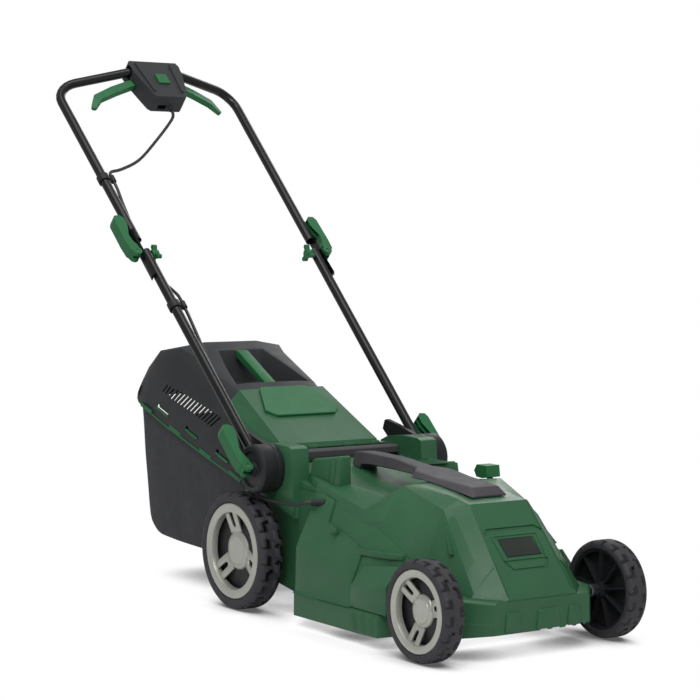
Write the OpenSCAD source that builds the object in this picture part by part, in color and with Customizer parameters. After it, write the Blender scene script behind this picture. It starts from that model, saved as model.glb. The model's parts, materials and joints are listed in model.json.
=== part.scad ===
// Push lawn mower with grass bag, electric, folding handle.
// X runs across the machine, Y from front to rear, Z up. The ground is Z = 0.
// Inside the modules Y = 0 is the front wheel centre; on_origin() then centres the machine.

/* [Wheels] */
// Front tyre diameter
front_wheel_d = 168; // [150:1:180]
// Front tyre width
front_wheel_w = 42; // [34:1:46]
// Rear tyre diameter
rear_wheel_d = 213; // [195:1:222]
// Rear tyre width
rear_wheel_w = 49; // [38:1:50]
// Distance between front and rear wheel centres at the lowest cut
wheelbase = 556; // [545:1:570]
// Overall width over the wheels' outer faces
track_w = 432; // [428:1:450]
// Tyre height above the rim, as a share of the wheel radius
tyre_share = 0.18; // [0.14:0.01:0.22]
// Axle rod diameter
axle_d = 12; // [10:0.5:13]
// Radial running clearance of every shaft in its bore
run_gap = 0.08; // [0.02:0.01:0.1]

/* [Height adjuster] */
// Radius of the wheel cranks
crank_r = 44; // [38:1:46]
// Angle of the wheel cranks above horizontal at the lowest cut
crank_tilt = 25; // [18:1:27]
// Length of the tabs that the link rod pulls
tab_len = 50; // [44:1:54]
// Length of the hand lever from its pivot to its knob
height_lever_len = 162; // [158:1:168]
// Distance of the hand lever's pivot behind the front wheels
height_lever_y = 150; // [144:1:156]

/* [Deck] */
// Width over the deck's side skirts
deck_w = 408; // [400:1:412]
// Thickness of the moulded walls
wall = 3; // [2.4:0.1:3.4]
// Underside of the blade chamber's ceiling
ceiling_z = 112; // [108:1:114]
// Distance of the blade's spindle behind the front wheels
spindle_y = 240; // [236:1:243]
// Blade length
blade_d = 360; // [320:1:364]
// Height of the blade's lower face above the ground at the lowest cut
blade_z = 40; // [32:1:46]
// Width of the rear deck between the rear wheels
tail_w = 300; // [296:1:300]
// Rear end of the deck behind the rear wheel centres
tail_past = 56; // [50:1:60]
// Inner width of the discharge chute
chute_w = 180; // [150:1:182]

/* [Motor] */
// Diameter of the motor frame
motor_d = 124; // [112:1:128]
// Height of the motor frame
motor_h = 86; // [76:1:92]
// Motor shaft diameter
shaft_d = 15; // [12:0.5:17]

/* [Handle] */
// Outer diameter of the handle tubes
tube_d = 19; // [18:0.5:20]
// Wall of the handle tubes
tube_wall = 1.2; // [1:0.1:1.6]
// Height of the handle's pivot above the ground
pivot_z = 261; // [256:1:266]
// Distance of the handle's pivot ahead of the rear wheel centres
pivot_ahead = 53; // [48:1:56]
// Length of the lower tubes from pivot to folding joint
lower_len = 545; // [520:1:560]
// Rise of the lower tubes above horizontal
lower_angle = 43.5; // [41:0.5:46]
// Length of the upper tubes from folding joint to grip bar
upper_len = 489; // [470:1:510]
// Rise of the upper tubes above horizontal
upper_angle = 42.5; // [40:0.5:45]
// Half distance between the lower tubes at the pivot
pivot_half = 186; // [185:0.5:187]
// Half distance between the lower tubes at the folding joint
mid_half = 197; // [195:1:199]
// Half distance between the upper tubes at the grip bar
top_half = 213; // [209:1:217]
// Rise of the grip bar at the switch box above the side tubes
grip_rise = 58; // [50:1:62]
// Diameter of the pivot drums
drum_d = 88; // [80:1:90]

/* [Grass bag] */
// Width of the grass bag
bag_w = 292; // [280:2:296]
// Length of the bag's hard top behind the deck
bag_len = 433; // [408:1:448]
// Ground clearance of the bag
bag_z = 70; // [60:2:84]
// Thickness of the bag's fabric
fabric_t = 2.4; // [2:0.2:3]

/* [Flap] */
// Width of the rear flap's top face
flap_w = 216; // [206:2:220]
// Height of the flap's hinge above the ground
hinge_z = 286; // [284:1:288]
// Distance of the flap's hinge behind the rear wheel centres
hinge_past = 0; // [-2:1:2]
// Slope of the closed flap
flap_angle = 28; // [27:0.5:29]
// Length of the flap from hinge to rear edge
flap_len = 186; // [176:1:190]

/* [Hidden] */
$fn = 64;
green = "#2c6b3f";
lever_green = "#2f7d48";
charcoal = "#3b3c40";
black = "#232426";
silver = "#b9b9b4";
steel = "#9a9ca0";

// ---------- derived places ----------
tail_y = wheelbase + tail_past;
pivot_y = wheelbase - pivot_ahead;
hinge_y = wheelbase + hinge_past;
shift = wheelbase - 556;  // the outlines of the deck's rear are drawn for a wheelbase of 556
function back(outline) = [for (p = outline) p + [shift, 0]];
front_r = front_wheel_d / 2;
rear_r = rear_wheel_d / 2;
side_x = track_w / 2;
crank_y = crank_r * cos(crank_tilt);
crank_z = crank_r * sin(crank_tilt);
front_pivot = [crank_y, front_r - crank_z];
rear_pivot = [wheelbase + crank_y, rear_r - crank_z];
crank_x = 157;           // centre plane of the wheel cranks
crank_t = 8;             // thickness of the crank plates
link_x = 98;             // centre plane of the tabs that the link rod pulls
tab_t = 4;               // thickness of the tabs, the link rod and the hand lever
height_pivot = [height_lever_y, ceiling_z + 12];
tab = [0, tab_len];
spindle = [0, spindle_y];
seat = 0.3;              // gap between pieces that lie against each other

// Point of the lower handle's own frame: x across, u up along the tube, v square to it
function lower_at(u, v) = [
    pivot_y + u * cos(lower_angle) - v * sin(lower_angle),
    pivot_z + u * sin(lower_angle) + v * cos(lower_angle)
];
mid = lower_at(lower_len, 0);
function upper_at(u, v) = [
    mid[0] + u * cos(upper_angle) - v * sin(upper_angle),
    mid[1] + u * sin(upper_angle) + v * cos(upper_angle)
];
box_top_u = upper_len + 18;

module on_origin() { translate([0, -centre_y, 0]) children(); }
module lower_frame() { translate([0, pivot_y, pivot_z]) rotate([lower_angle, 0, 0]) children(); }
module upper_frame() { translate([0, mid[0], mid[1]]) rotate([upper_angle, 0, 0]) children(); }
module both_sides() { children(); mirror([1, 0, 0]) children(); }
module on_side(s) { if (s > 0) children(); else mirror([1, 0, 0]) children(); }

// ---------- shared shapes ----------
// Cylinder along X from x0 to x1 at y, z
module x_rod(x0, x1, y, z, d) {
    translate([min(x0, x1), y, z]) rotate([0, 90, 0]) cylinder(d = d, h = abs(x1 - x0));
}
// Round rod between two points
module rod(a, b, d, past = 0) {
    v = b - a;
    translate(a) rotate([0, acos(v[2] / norm(v)), atan2(v[1], v[0])])
        translate([0, 0, -past]) cylinder(d = d, h = norm(v) + 2 * past);
}
// Outline in Y and Z, extruded along X from x0 to x1
module side_plate(x0, x1, outline) {
    translate([min(x0, x1), 0, 0]) rotate([90, 0, 90])
        linear_extrude(abs(x1 - x0)) polygon(outline);
}
function unit(v) = v / norm(v);
// Solid through closed rings of points, one ring after another; level_ends cuts the two end
// faces into level strips, for rings made of two equal sides
module loft(rings, level_ends = false) {
    n = len(rings[0]);
    m = len(rings);
    pts = [for (r = rings) each r];
    walls = [for (j = [0 : m - 2], i = [0 : n - 1]) each [
        [j * n + i, (j + 1) * n + (i + 1) % n, (j + 1) * n + i],
        [j * n + i, j * n + (i + 1) % n, (j + 1) * n + (i + 1) % n]
    ]];
    strips = [for (i = [0 : n / 2 - 2]) [i, i + 1, n - 2 - i, n - 1 - i]];
    first = level_ends ? strips : [[for (i = [0 : n - 1]) i]];
    polyhedron(pts, concat(
        walls,
        [for (f = first) [for (i = [len(f) - 1 : -1 : 0]) f[i]]],
        [for (f = first) [for (i = f) (m - 1) * n + i]]
    ), convexity = 6);
}
// Ring at the place y from the outline of its +X half, listed from below upwards
function ring(y, half) = concat(
    [for (p = half) [p[0], y, p[1]]],
    [for (i = [len(half) - 1 : -1 : 0]) [-half[i][0], y, half[i][1]]]
);
// Cord swept along a route: rings of sides points, framed so that it does not twist
function turned(v, axis, a) =
    v * cos(a) + cross(axis, v) * sin(a) + axis * (axis * v) * (1 - cos(a));
function along(p, i) = unit(p[min(i + 1, len(p) - 1)] - p[max(i - 1, 0)]);
function square_to(v, t) = unit(v - (v * t) * t);
function frames(p, i = 0, n = [0.2, 0.3, 1], done = []) =
    i == len(p) ? done
    : let (t = along(p, i), m = square_to(n, t)) frames(p, i + 1, m, concat(done, [m]));
// Smooth points through the route (Catmull-Rom), steps per stretch
function smooth(p, steps) = concat(
    [for (i = [0 : len(p) - 2], k = [0 : steps - 1])
        let (
            t = k / steps,
            a = i == 0 ? 2 * p[0] - p[1] : p[i - 1],
            d = i == len(p) - 2 ? 2 * p[i + 1] - p[i] : p[i + 2]
        )
        0.5 * (2 * p[i] + (p[i + 1] - a) * t + (2 * a - 5 * p[i] + 4 * p[i + 1] - d) * t * t
            + (3 * p[i] - a - 3 * p[i + 1] + d) * t * t * t)],
    [p[len(p) - 1]]
);
module sweep(p, d, sides) {
    f = frames(p);
    loft([for (i = [0 : len(p) - 1])
        let (t = along(p, i))
        [for (k = [0 : sides - 1]) p[i] + turned(f[i], t, -360 * k / sides) * d / 2]]);
}
module cord(route, d, steps = 3, sides = 8) { sweep(smooth(route, steps), d, sides); }
// Points along the bend of radius r round the corner p
function bent(a, p, b, r, steps) =
    let (
        d1 = unit(p - a),
        d2 = unit(b - p),
        turn = acos(d1 * d2),
        n = unit(d2 - (d1 * d2) * d1),
        c = p - d1 * r * tan(turn / 2) + n * r
    )
    [for (i = [0 : steps]) c + r * (sin(turn * i / steps) * d1 - cos(turn * i / steps) * n)];

// Plate with two round eyes of radius r: centres a and b as [y, z]
module strap(x0, x1, a, b, r) {
    translate([x0, 0, 0]) rotate([90, 0, 90]) linear_extrude(x1 - x0) {
        translate(a) circle(r);
        translate(b) circle(r);
        translate(a) rotate(atan2(b[1] - a[1], b[0] - a[0])) translate([0, -0.85 * r])
            square([norm(b - a), 1.7 * r]);
    }
}
pin_d = 6;               // small pins and rods
pin_bore = pin_d + 2 * run_gap;

// ---------- wheels ----------
trim_t = 9;              // depth of the silver trim behind the wheel's outer face
hub_d = 28;
front_spokes = 15;       // how far the wheels stand turned
rear_spokes = 49;
module at_wheel(s, y, d, w) {
    on_origin() on_side(s) translate([side_x - w / 2, y, d / 2]) rotate([0, 90, 0])
        rotate(y > 0 ? rear_spokes : front_spokes) children();
}
module tyre(d, w) {
    r = d / 2;
    bead = r * (1 - tyre_share);
    rotate_extrude($fn = 96) polygon([
        [bead, 3 - w / 2], [r - 9, -w / 2], [r - 3, 2 - w / 2], [r, 7 - w / 2],
        [r, w / 2 - 7], [r - 3, w / 2 - 2], [r - 9, w / 2], [bead, w / 2 - 3]
    ]);
}
module window(r, h) {
    for (a = [60 : 120 : 300]) rotate(a) linear_extrude(h) intersection() {
        difference() { circle(0.59 * r); circle(0.33 * r); }
        polygon([[0, 0], [r, -0.9 * r], [r, 0.9 * r]]);
    }
}
module rim(d, w) {
    r = d / 2;
    bead = r * (1 - tyre_share);
    face = w / 2 - trim_t;
    difference() {
        union() {
            translate([0, 0, 4 - w / 2]) difference() {
                cylinder(r = bead, h = face - 4 + w / 2);
                translate([0, 0, -1]) cylinder(r = bead - 5, h = w);
            }
            translate([0, 0, face - 5]) cylinder(r = bead - 4, h = 5);
            translate([0, 0, -w / 2]) cylinder(d = hub_d, h = face + w / 2);
        }
        translate([0, 0, -w]) cylinder(d = axle_d + 2 * run_gap, h = 2 * w);
        translate([0, 0, face - 6]) window(r, 8);
    }
}
module trim(d, w) {
    r = d / 2;
    bead = r * (1 - tyre_share);
    face = w / 2 - trim_t;
    cap_r = 0.26 * r;
    translate([0, 0, face]) {
        difference() {
            cylinder(r = bead - 0.5, h = trim_t - 1.5);
            translate([0, 0, -1]) cylinder(r = 0.61 * r, h = trim_t + 2);
        }
        difference() {
            union() {
                cylinder(r = cap_r + 4, h = 5);
                intersection() {
                    for (a = [0 : 120 : 240]) rotate(a) translate([0, -0.17 * r, 0])
                        cube([0.63 * r, 0.34 * r, 5]);
                    cylinder(r = 0.63 * r, h = 5);
                }
            }
            translate([0, 0, -1]) cylinder(r = cap_r + 0.2, h = 10);
            for (a = [0 : 120 : 240]) rotate(a) translate([0.37 * r, -0.045 * r, -1])
                cube([0.19 * r, 0.09 * r, 10]);
        }
        difference() {
            rotate_extrude() polygon([
                [0, 0], [cap_r, 0], [cap_r, trim_t - 2], [cap_r - 2, trim_t], [0, trim_t]
            ]);
            translate([0, 0, -1]) cylinder(d = 24, h = trim_t - 1.5);
        }
    }
}
module front_left_tyre() { color(black) at_wheel(1, 0, front_wheel_d, front_wheel_w) tyre(front_wheel_d, front_wheel_w); }
module front_right_tyre() { color(black) at_wheel(-1, 0, front_wheel_d, front_wheel_w) tyre(front_wheel_d, front_wheel_w); }
module rear_left_tyre() { color(black) at_wheel(1, wheelbase, rear_wheel_d, rear_wheel_w) tyre(rear_wheel_d, rear_wheel_w); }
module rear_right_tyre() { color(black) at_wheel(-1, wheelbase, rear_wheel_d, rear_wheel_w) tyre(rear_wheel_d, rear_wheel_w); }
module front_left_rim() { color(black) at_wheel(1, 0, front_wheel_d, front_wheel_w) rim(front_wheel_d, front_wheel_w); }
module front_right_rim() { color(black) at_wheel(-1, 0, front_wheel_d, front_wheel_w) rim(front_wheel_d, front_wheel_w); }
module rear_left_rim() { color(black) at_wheel(1, wheelbase, rear_wheel_d, rear_wheel_w) rim(rear_wheel_d, rear_wheel_w); }
module rear_right_rim() { color(black) at_wheel(-1, wheelbase, rear_wheel_d, rear_wheel_w) rim(rear_wheel_d, rear_wheel_w); }
module front_left_trim() { color(silver) at_wheel(1, 0, front_wheel_d, front_wheel_w) trim(front_wheel_d, front_wheel_w); }
module front_right_trim() { color(silver) at_wheel(-1, 0, front_wheel_d, front_wheel_w) trim(front_wheel_d, front_wheel_w); }
module rear_left_trim() { color(silver) at_wheel(1, wheelbase, rear_wheel_d, rear_wheel_w) trim(rear_wheel_d, rear_wheel_w); }
module rear_right_trim() { color(silver) at_wheel(-1, wheelbase, rear_wheel_d, rear_wheel_w) trim(rear_wheel_d, rear_wheel_w); }

// ---------- axles and height adjuster ----------
rod_x = link_x + tab_t + seat;        // centre plane of the link rod
lever_x = rod_x + tab_t + seat;       // centre plane of the hand lever
module axle_set(p, w) {
    c = [p[0] - crank_y, p[1] + crank_z];
    plate = crank_x + crank_t / 2;
    x_rod(-plate, plate, p[0], p[1], axle_d);
    both_sides() {
        strap(crank_x - crank_t / 2, plate, p, c, 11);
        x_rod(crank_x, side_x - 3.5, c[0], c[1], axle_d);
        x_rod(crank_x, side_x - w - seat, c[0], c[1], axle_d + 8);
        x_rod(side_x - trim_t + seat, side_x - 3.5, c[0], c[1], axle_d + 6);
    }
    strap(link_x - tab_t / 2, link_x + tab_t / 2, p, p + tab, 7);
    x_rod(link_x, rod_x + tab_t / 2, p[0] + tab[0], p[1] + tab[1], pin_d);
}
module front_axle() { color(steel) on_origin() axle_set(front_pivot, front_wheel_w); }
module rear_axle() { color(steel) on_origin() axle_set(rear_pivot, rear_wheel_w); }
module link_rod() {
    ends = [front_pivot + tab, height_pivot + tab, rear_pivot + tab];
    color(steel) on_origin() difference() {
        for (i = [0 : 1]) strap(rod_x - tab_t / 2, rod_x + tab_t / 2, ends[i], ends[i + 1], 7);
        x_rod(rod_x - tab_t, rod_x + tab_t, ends[1][0], ends[1][1], pin_bore);
        for (e = [ends[0], ends[2]]) x_rod(rod_x - tab_t, rod_x + tab_t, e[0], e[1], pin_d + 1);
    }
}
lever_pin_d = 9;
lever_hub_d = 15;
knob_at = height_pivot + height_lever_len * [sin(crank_tilt), cos(crank_tilt)];
module height_lever() {
    color(black) on_origin() difference() {
        union() {
            strap(lever_x - tab_t / 2, lever_x + tab_t / 2, height_pivot,
                knob_at - 10 * [sin(crank_tilt), cos(crank_tilt)], 7);
            strap(lever_x - tab_t / 2, lever_x + tab_t / 2, height_pivot, height_pivot + tab, lever_hub_d / 2);
            x_rod(lever_x - tab_t / 2, lever_x + tab_t / 2, height_pivot[0], height_pivot[1], lever_hub_d);
            x_rod(rod_x - tab_t / 2, lever_x, height_pivot[0] + tab[0], height_pivot[1] + tab[1], pin_d);
        }
        x_rod(lever_x - tab_t, lever_x + tab_t, height_pivot[0], height_pivot[1],
            lever_pin_d + 2 * run_gap);
    }
}
module height_knob() {
    color(lever_green) on_origin() difference() {
        translate([0, knob_at[0], knob_at[1]]) side_plate(lever_x - 15, lever_x + 15,
            [[-17, -11], [-3, -14], [13, -13], [20, -2], [13, 9], [-14, 9]]);
        strap(lever_x - tab_t / 2, lever_x + tab_t / 2, height_pivot,
            knob_at - 10 * [sin(crank_tilt), cos(crank_tilt)], 7);
    }
}

// ---------- deck and hood ----------
sx = deck_w / 2;
tx = tail_w / 2;
// Each row: place behind the front wheels, then the +X half outline as [x, z] from the hem up
deck_rows = [
    [-62, [[102, 43], [102, 60], [101, 62], [101, 80], [100, 93], [97, 96]]],
    [-20, [[tx - 8, 36], [tx - 8, 60], [tx - 9, 62], [tx - 9, 82], [tx - 10, 96], [tx - 16, 100]]],
    [57, [[tx - 4, 27], [tx - 4, 58], [tx - 5, 60], [tx - 5, 84], [tx - 8, 104], [tx - 22, 110]]],
    [94, [[tx - 2, 24], [tx - 2, 58], [tx - 3, 60], [tx - 3, 92], [tx - 6, 118], [tx - 18, 128]]],
    [118, [[sx, 20], [sx, 57], [sx - 6, 60], [sx - 8, 95], [sx - 42, 130], [sx - 50, 158]]],
    [180, [[sx, 19], [sx, 57], [sx - 6, 60], [sx - 8, 99], [sx - 30, 146], [sx - 49, 190]]],
    [212, [[sx, 19], [sx, 57], [sx - 6, 60], [sx - 8, 103], [sx - 28, 150], [sx - 49, 199]]],
    [245, [[sx, 19], [sx, 57], [sx - 6, 60], [sx - 8, 110], [sx - 31, 165], [sx - 49, 208]]],
    [330, [[sx, 19], [sx, 58], [sx - 6, 61], [sx - 7, 130], [sx - 40, 204], [sx - 49, 228]]],
    [366, [[sx, 19], [sx, 58], [sx - 6, 61], [sx - 7, 138], [sx - 44, 216], [sx - 49, 236]]],
    [428 + shift, [[tx, 40], [tx, 58], [tx - 1, 61], [tx - 1, 137], [tx - 1, 215], [tx - 2, 242]]],
    [500 + shift, [[tx, 52], [tx, 64], [tx - 1, 66], [tx - 1, 145], [tx - 1, 222], [tx - 2, 256]]],
    [560 + shift, [[tx, 60], [tx, 70], [tx - 1, 72], [tx - 1, 150], [tx - 1, 228], [tx - 2, 266]]],
    [tail_y, [[tx, 62], [tx, 72], [tx - 1, 74], [tx - 1, 150], [tx - 1, 226], [tx - 2, 262]]]
];
hood_rows = [
    [-61, [[74, 96.5], [73.8, 97.2], [73.4, 97.9], [73, 98.6], [71, 99.6], [20, 99.6]]],
    [-20, [[116, 100.4], [114, 103], [112.5, 105], [111, 107], [68, 149.2], [20, 149.2]]],
    [57, [[126, 110.4], [120, 135], [108, 168], [97, 195], [62, 240], [20, 240]]],
    [94, [[129, 128.4], [122, 155], [106, 196], [92, 231], [58, 245], [20, 248]]],
    [118, [[151, 158.4], [141, 172], [118, 200], [96, 240], [60, 249], [20, 251]]],
    [180, [[154, 190.4], [151, 203], [122, 226], [104, 259], [62, 259], [20, 259]]],
    [212, [[154, 199.4], [151, 211], [116, 231], [99, 250], [76, 261], [20, 262]]],
    [245, [[154, 208.4], [151, 221], [112, 235], [96, 236], [60, 238], [20, 240]]],
    [330, [[154, 228.4], [152, 240], [112, 246], [100, 243], [60, 238], [20, 238]]],
    [366, [[154, 236.4], [152, 248], [112, 250], [100, 249], [60, 242], [20, 242]]],
    [428 + shift, [[124, 242.4], [124, 252], [112, 255], [100, 256], [60, 256], [20, 257]]],
    [490 + shift, [[124, 254.5], [124, 262], [112, 265], [100, 267], [60, 269.5], [20, 271]]]
];
// The same rows, moved inwards by w, with the lowest point dropped to leave the bottom open
function inset(rows, w, drop) = [
    for (i = [0 : len(rows) - 1])
        let (r = rows[i], y = r[0] + (i == 0 ? w : i == len(rows) - 1 ? -w : 0))
        ring(y, [for (k = [0 : len(r[1]) - 1])
            [r[1][k][0] - w, r[1][k][1] - (k == 0 ? drop : w)]])
];
function rings(rows) = [for (r = rows) ring(r[0], r[1])];
module inside_deck() {
    intersection() {
        children();
        loft(inset(deck_rows, wall - 0.2, 0));
    }
}
chute_half = chute_w / 2;
chamber_back = 429 + shift;      // rear wall of the blade chamber
chamber_front = 53;      // front wall of the blade chamber
slab_t = 4;
slab_top = ceiling_z + slab_t;
chute_in = [
    [chamber_back + wall, 62], [tail_y + 5, 109], [tail_y + 5, 256], [560 + shift, 252],
    [400 + shift, 175], [330 + shift, ceiling_z - 5], [chamber_back + wall, ceiling_z - 5]
];
chute_out = [
    [chamber_back, 60], [tail_y - 1, 105.5], [tail_y - 1, 260], [560 + shift, 255.5],
    [398 + shift, 179], [318 + shift, slab_top], [318 + shift, ceiling_z], [chamber_back, ceiling_z]
];
// Rear pillar that carries the handle's pivot, with the hollow behind its outer wall
pillar = back([[429, 178], [441, 300], [452, 304], [500, 305], [545, 300], [568, 290],
    [567, 262], [545, 215], [470, 190]]);
pillar_hollow = back([[437, 186], [448, 295], [454, 299], [500, 300], [543, 295], [563, 286],
    [562, 264], [541, 220], [468, 196]]);
pillar_in = 126;
pillar_out = 162.7;
pivot_bolt_d = 8;
bolt_bore = pivot_bolt_d + 2 * run_gap;
clamp_half = 12;
clamp_x = 128;           // centre plane of the axle clamps
clamp_w = 14;
screw_d = 3.2;
screw_gap = 9;           // distance of a clamp's screws from its axle
motor_screw_r = motor_d / 2 + 5;
gland_a = [30 - sx, 358, 215];
gland_b = [54 - sx, 330, 217];
gland_d = 11;
cable_d = 6.5;
module clamp_screws(p, d, up) {
    for (t = [-screw_gap, screw_gap])
        translate([clamp_x, p[0] + t, p[1] - clamp_half - seat]) cylinder(d = d, h = up);
}
module axle_rib(p, more) {
    inside_deck() translate([clamp_x - clamp_w / 2, p[0] - clamp_half, p[1] + clamp_half])
        cube([clamp_w + more, 2 * clamp_half, 60]);
}
module deck_shell() {
    color(green) on_origin() difference() {
        union() {
            difference() {
                loft(rings(deck_rows), true);
                loft(inset(deck_rows, wall, 30), true);
                // open middle under the hood
                translate([0, 0, 90]) linear_extrude(200) polygon([
                    [-106, -18], [106, -18], [118, 57], [122, 118], [122, 422 + shift],
                    [-122, 422 + shift], [-122, 118], [-118, 57]
                ]);
            }
            inside_deck() {
                translate([-sx, chamber_front, ceiling_z])
                    cube([deck_w, chamber_back + 11 - chamber_front, slab_t]);
                translate([-sx, chamber_front, 28]) cube([deck_w, wall, ceiling_z - 26]);
                translate([-sx, chamber_back, 42]) cube([deck_w, wall, ceiling_z - 40]);
            }
            side_plate(-chute_half - wall, chute_half + wall, chute_out);
            both_sides() difference() {
                side_plate(pillar_in, pillar_out, pillar);
                side_plate(pillar_in + wall, pillar_out - wall, pillar_hollow);
                translate([pillar_in + wall, 455 + shift, 150]) cube([tx - wall - pillar_in - wall, 85, 90]);
            }
            both_sides() x_rod(pillar_in, pillar_out, pivot_y, pivot_z, 26);
            both_sides() { axle_rib(front_pivot, 0); axle_rib(rear_pivot, 20); }
            // post and pin of the hand lever
            x_rod(lever_x + tab_t / 2 + seat, lever_x + 11, height_pivot[0], height_pivot[1], 16);
            x_rod(lever_x - tab_t / 2, lever_x + 5, height_pivot[0], height_pivot[1], lever_pin_d);
            translate([lever_x + tab_t / 2 + seat, height_pivot[0] - 8, slab_top - 1])
                cube([11 - tab_t / 2 - seat, 16, height_pivot[1] - slab_top + 1]);
        }
        side_plate(-chute_half, chute_half, chute_in);
        for (p = [front_pivot, rear_pivot]) x_rod(-tx - 10, tx + 10, p[0], p[1], axle_d + 3);
        translate([0, spindle_y, 0]) {
            cylinder(d = 56, h = slab_top + 10);
            for (a = [45 : 90 : 315]) rotate(a) translate([motor_screw_r, 0, 50]) cylinder(d = 5, h = 100);
        }
        both_sides() {
            x_rod(pillar_in - 1, pillar_out + 1, pivot_y, pivot_z, pivot_bolt_d);
            x_rod(pillar_in - 12, pillar_in, pivot_y, pivot_z, 20);
            x_rod(pillar_in - 1, pillar_in + 8, hinge_y, hinge_z, pin_d);
            clamp_screws(front_pivot, screw_d, 2 * clamp_half + 8);
            clamp_screws(rear_pivot, screw_d, 2 * clamp_half + 8);
        }
        // way of the front tab through the chamber's ceiling
        translate([link_x - 6, chamber_front - 3, ceiling_z - 1]) cube([18, 22, 20]);
        rod(gland_a, gland_b, gland_d, 1);
    }
}
module rear_box() {
    hull() {
        translate([106, 334 + shift, 243]) cube([28, 90, 1]);
        translate([108, 420 + shift, 284]) cube([22, 2, 1]);
        translate([104, 340 + shift, 299]) cube([14, 2, 1]);
    }
}
panel_tilt = 49.7;       // slope of the hood's front panel
badge_w = 75;
badge_h = 34;
badge_t = 2;
module badge_frame() { translate([0, -0.5, 172.2]) rotate([panel_tilt, 0, 0]) children(); }
module motor_hood() {
    color(green) on_origin() {
        difference() {
            union() {
                loft(rings(hood_rows));
                both_sides() rear_box();
            }
            loft(inset(hood_rows, wall, 30));
            // slot of the height lever
            translate([lever_x - tab_t / 2 - 1, 76, 150]) cube([tab_t + 2, 152, 150]);
            badge_frame() translate([-badge_w / 2 - 1, -badge_h / 2 - 1, -1.5])
                cube([badge_w + 2, badge_h + 2, 10]);
        }
    }
}
module badge_plate() {
    color(charcoal) on_origin() badge_frame()
        translate([0, 0, seat - 1.5]) linear_extrude(badge_t) polygon([
            [-badge_w / 2, badge_h / 2], [badge_w / 2 - 4, badge_h / 2],
            [badge_w / 2, -badge_h / 2], [4 - badge_w / 2, -badge_h / 2]
        ]);
}
// Rows of the carry handle: place, underside, top, half width below, half width on top
handle_rows = [
    [80, 245.6, 249, 37, 34], [93, 248.4, 262, 40, 29], [118, 251.6, 264.5, 41.5, 32],
    [180, 259.6, 269, 44, 36], [212, 262.6, 273, 45, 38], [240, 262.6, 276, 45, 38],
    [262, 265, 279, 24, 19], [330, 267, 287, 21, 16], [400, 268, 289, 21, 16],
    [426 + shift, 266, 289, 21, 16], [430 + shift, 258, 289, 21, 16], [452 + shift, 262.9, 287, 21, 16]
];
module carry_handle() {
    color(charcoal) on_origin() loft([for (r = handle_rows) ring(r[0], [
        [r[3] - 3, r[1]], [r[3], r[1] + 1.5], [r[4], r[2] - 1], [r[4] - 4, r[2]]
    ])]);
}
module rear_crossbar() {
    color(charcoal) on_origin() side_plate(seat - pillar_in, pillar_in - seat,
        back([[508, 273], [540, 273], [540, 282], [536, 286], [514, 288], [508, 284]]));
}
module flap_rod() {
    color(steel) on_origin() x_rod(-pillar_in - 7, pillar_in + 7, hinge_y, hinge_z, pin_d);
}
bracket_t = 13;
bracket_in = pillar_out + seat;
bracket_out = bracket_in + bracket_t;
module pivot_brackets() {
    color(black) on_origin() both_sides() difference() {
        union() {
            x_rod(bracket_in, bracket_out, pivot_y, pivot_z, drum_d);
            translate([0, pivot_y, pivot_z]) side_plate(bracket_in, bracket_out - 3,
                [[2, 41], [60, 56], [98, 64], [104, 62], [110, 45], [68, 11], [20, -10]]);
        }
        x_rod(bracket_in - 1, bracket_out + 1, pivot_y, pivot_z, pivot_bolt_d);
    }
}
knuckle_in = bracket_out + seat;
knuckle_out = 207;
foot_r = 9.7;            // radius of the cam levers' feet
base_pin_x = knuckle_out + seat + foot_r;
cam_pin_len = 20;
module lower_pivot() { translate([0, pivot_y, pivot_z]) rotate([lower_angle, 0, 0]) children(); }
module deck_fasteners() {
    color(steel) on_origin() {
        // bolts of the handle's pivots, each with the cross pin of its cam lever
        both_sides() lower_pivot() {
            x_rod(pillar_in - 6, pillar_in - seat, 0, 0, 13);
            x_rod(pillar_in - 3, base_pin_x, 0, 0, pivot_bolt_d);
            translate([base_pin_x, 0, -cam_pin_len / 2]) cylinder(d = pin_d, h = cam_pin_len);
        }
        both_sides() for (p = [front_pivot, rear_pivot]) {
            clamp_screws(p, screw_d, 2 * clamp_half + 7);
            translate([0, 0, -2.4]) clamp_screws(p, 7, 2.4);
        }
        translate([0, spindle_y, 0]) for (a = [45 : 90 : 315]) rotate(a)
            translate([motor_screw_r, 0, 0]) {
                translate([0, 0, ceiling_z]) cylinder(d = 5, h = slab_t + flange_t);
                translate([0, 0, slab_top + flange_t]) cylinder(d = 9, h = 3);
            }
    }
}
module axle_clamps() {
    color(black) on_origin() both_sides() for (p = [front_pivot, rear_pivot]) difference() {
        translate([clamp_x - clamp_w / 2, p[0] - clamp_half, p[1] - clamp_half])
            cube([clamp_w, 2 * clamp_half, 2 * clamp_half]);
        x_rod(clamp_x - clamp_w, clamp_x + clamp_w, p[0], p[1], axle_d + 2 * run_gap);
        clamp_screws(p, screw_d, 2 * clamp_half + 8);
    }
}
module cable_gland() {
    color(black) on_origin() difference() {
        rod(gland_a, gland_b, gland_d);
        rod(gland_a, gland_b, cable_d, 1);
    }
}

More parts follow.
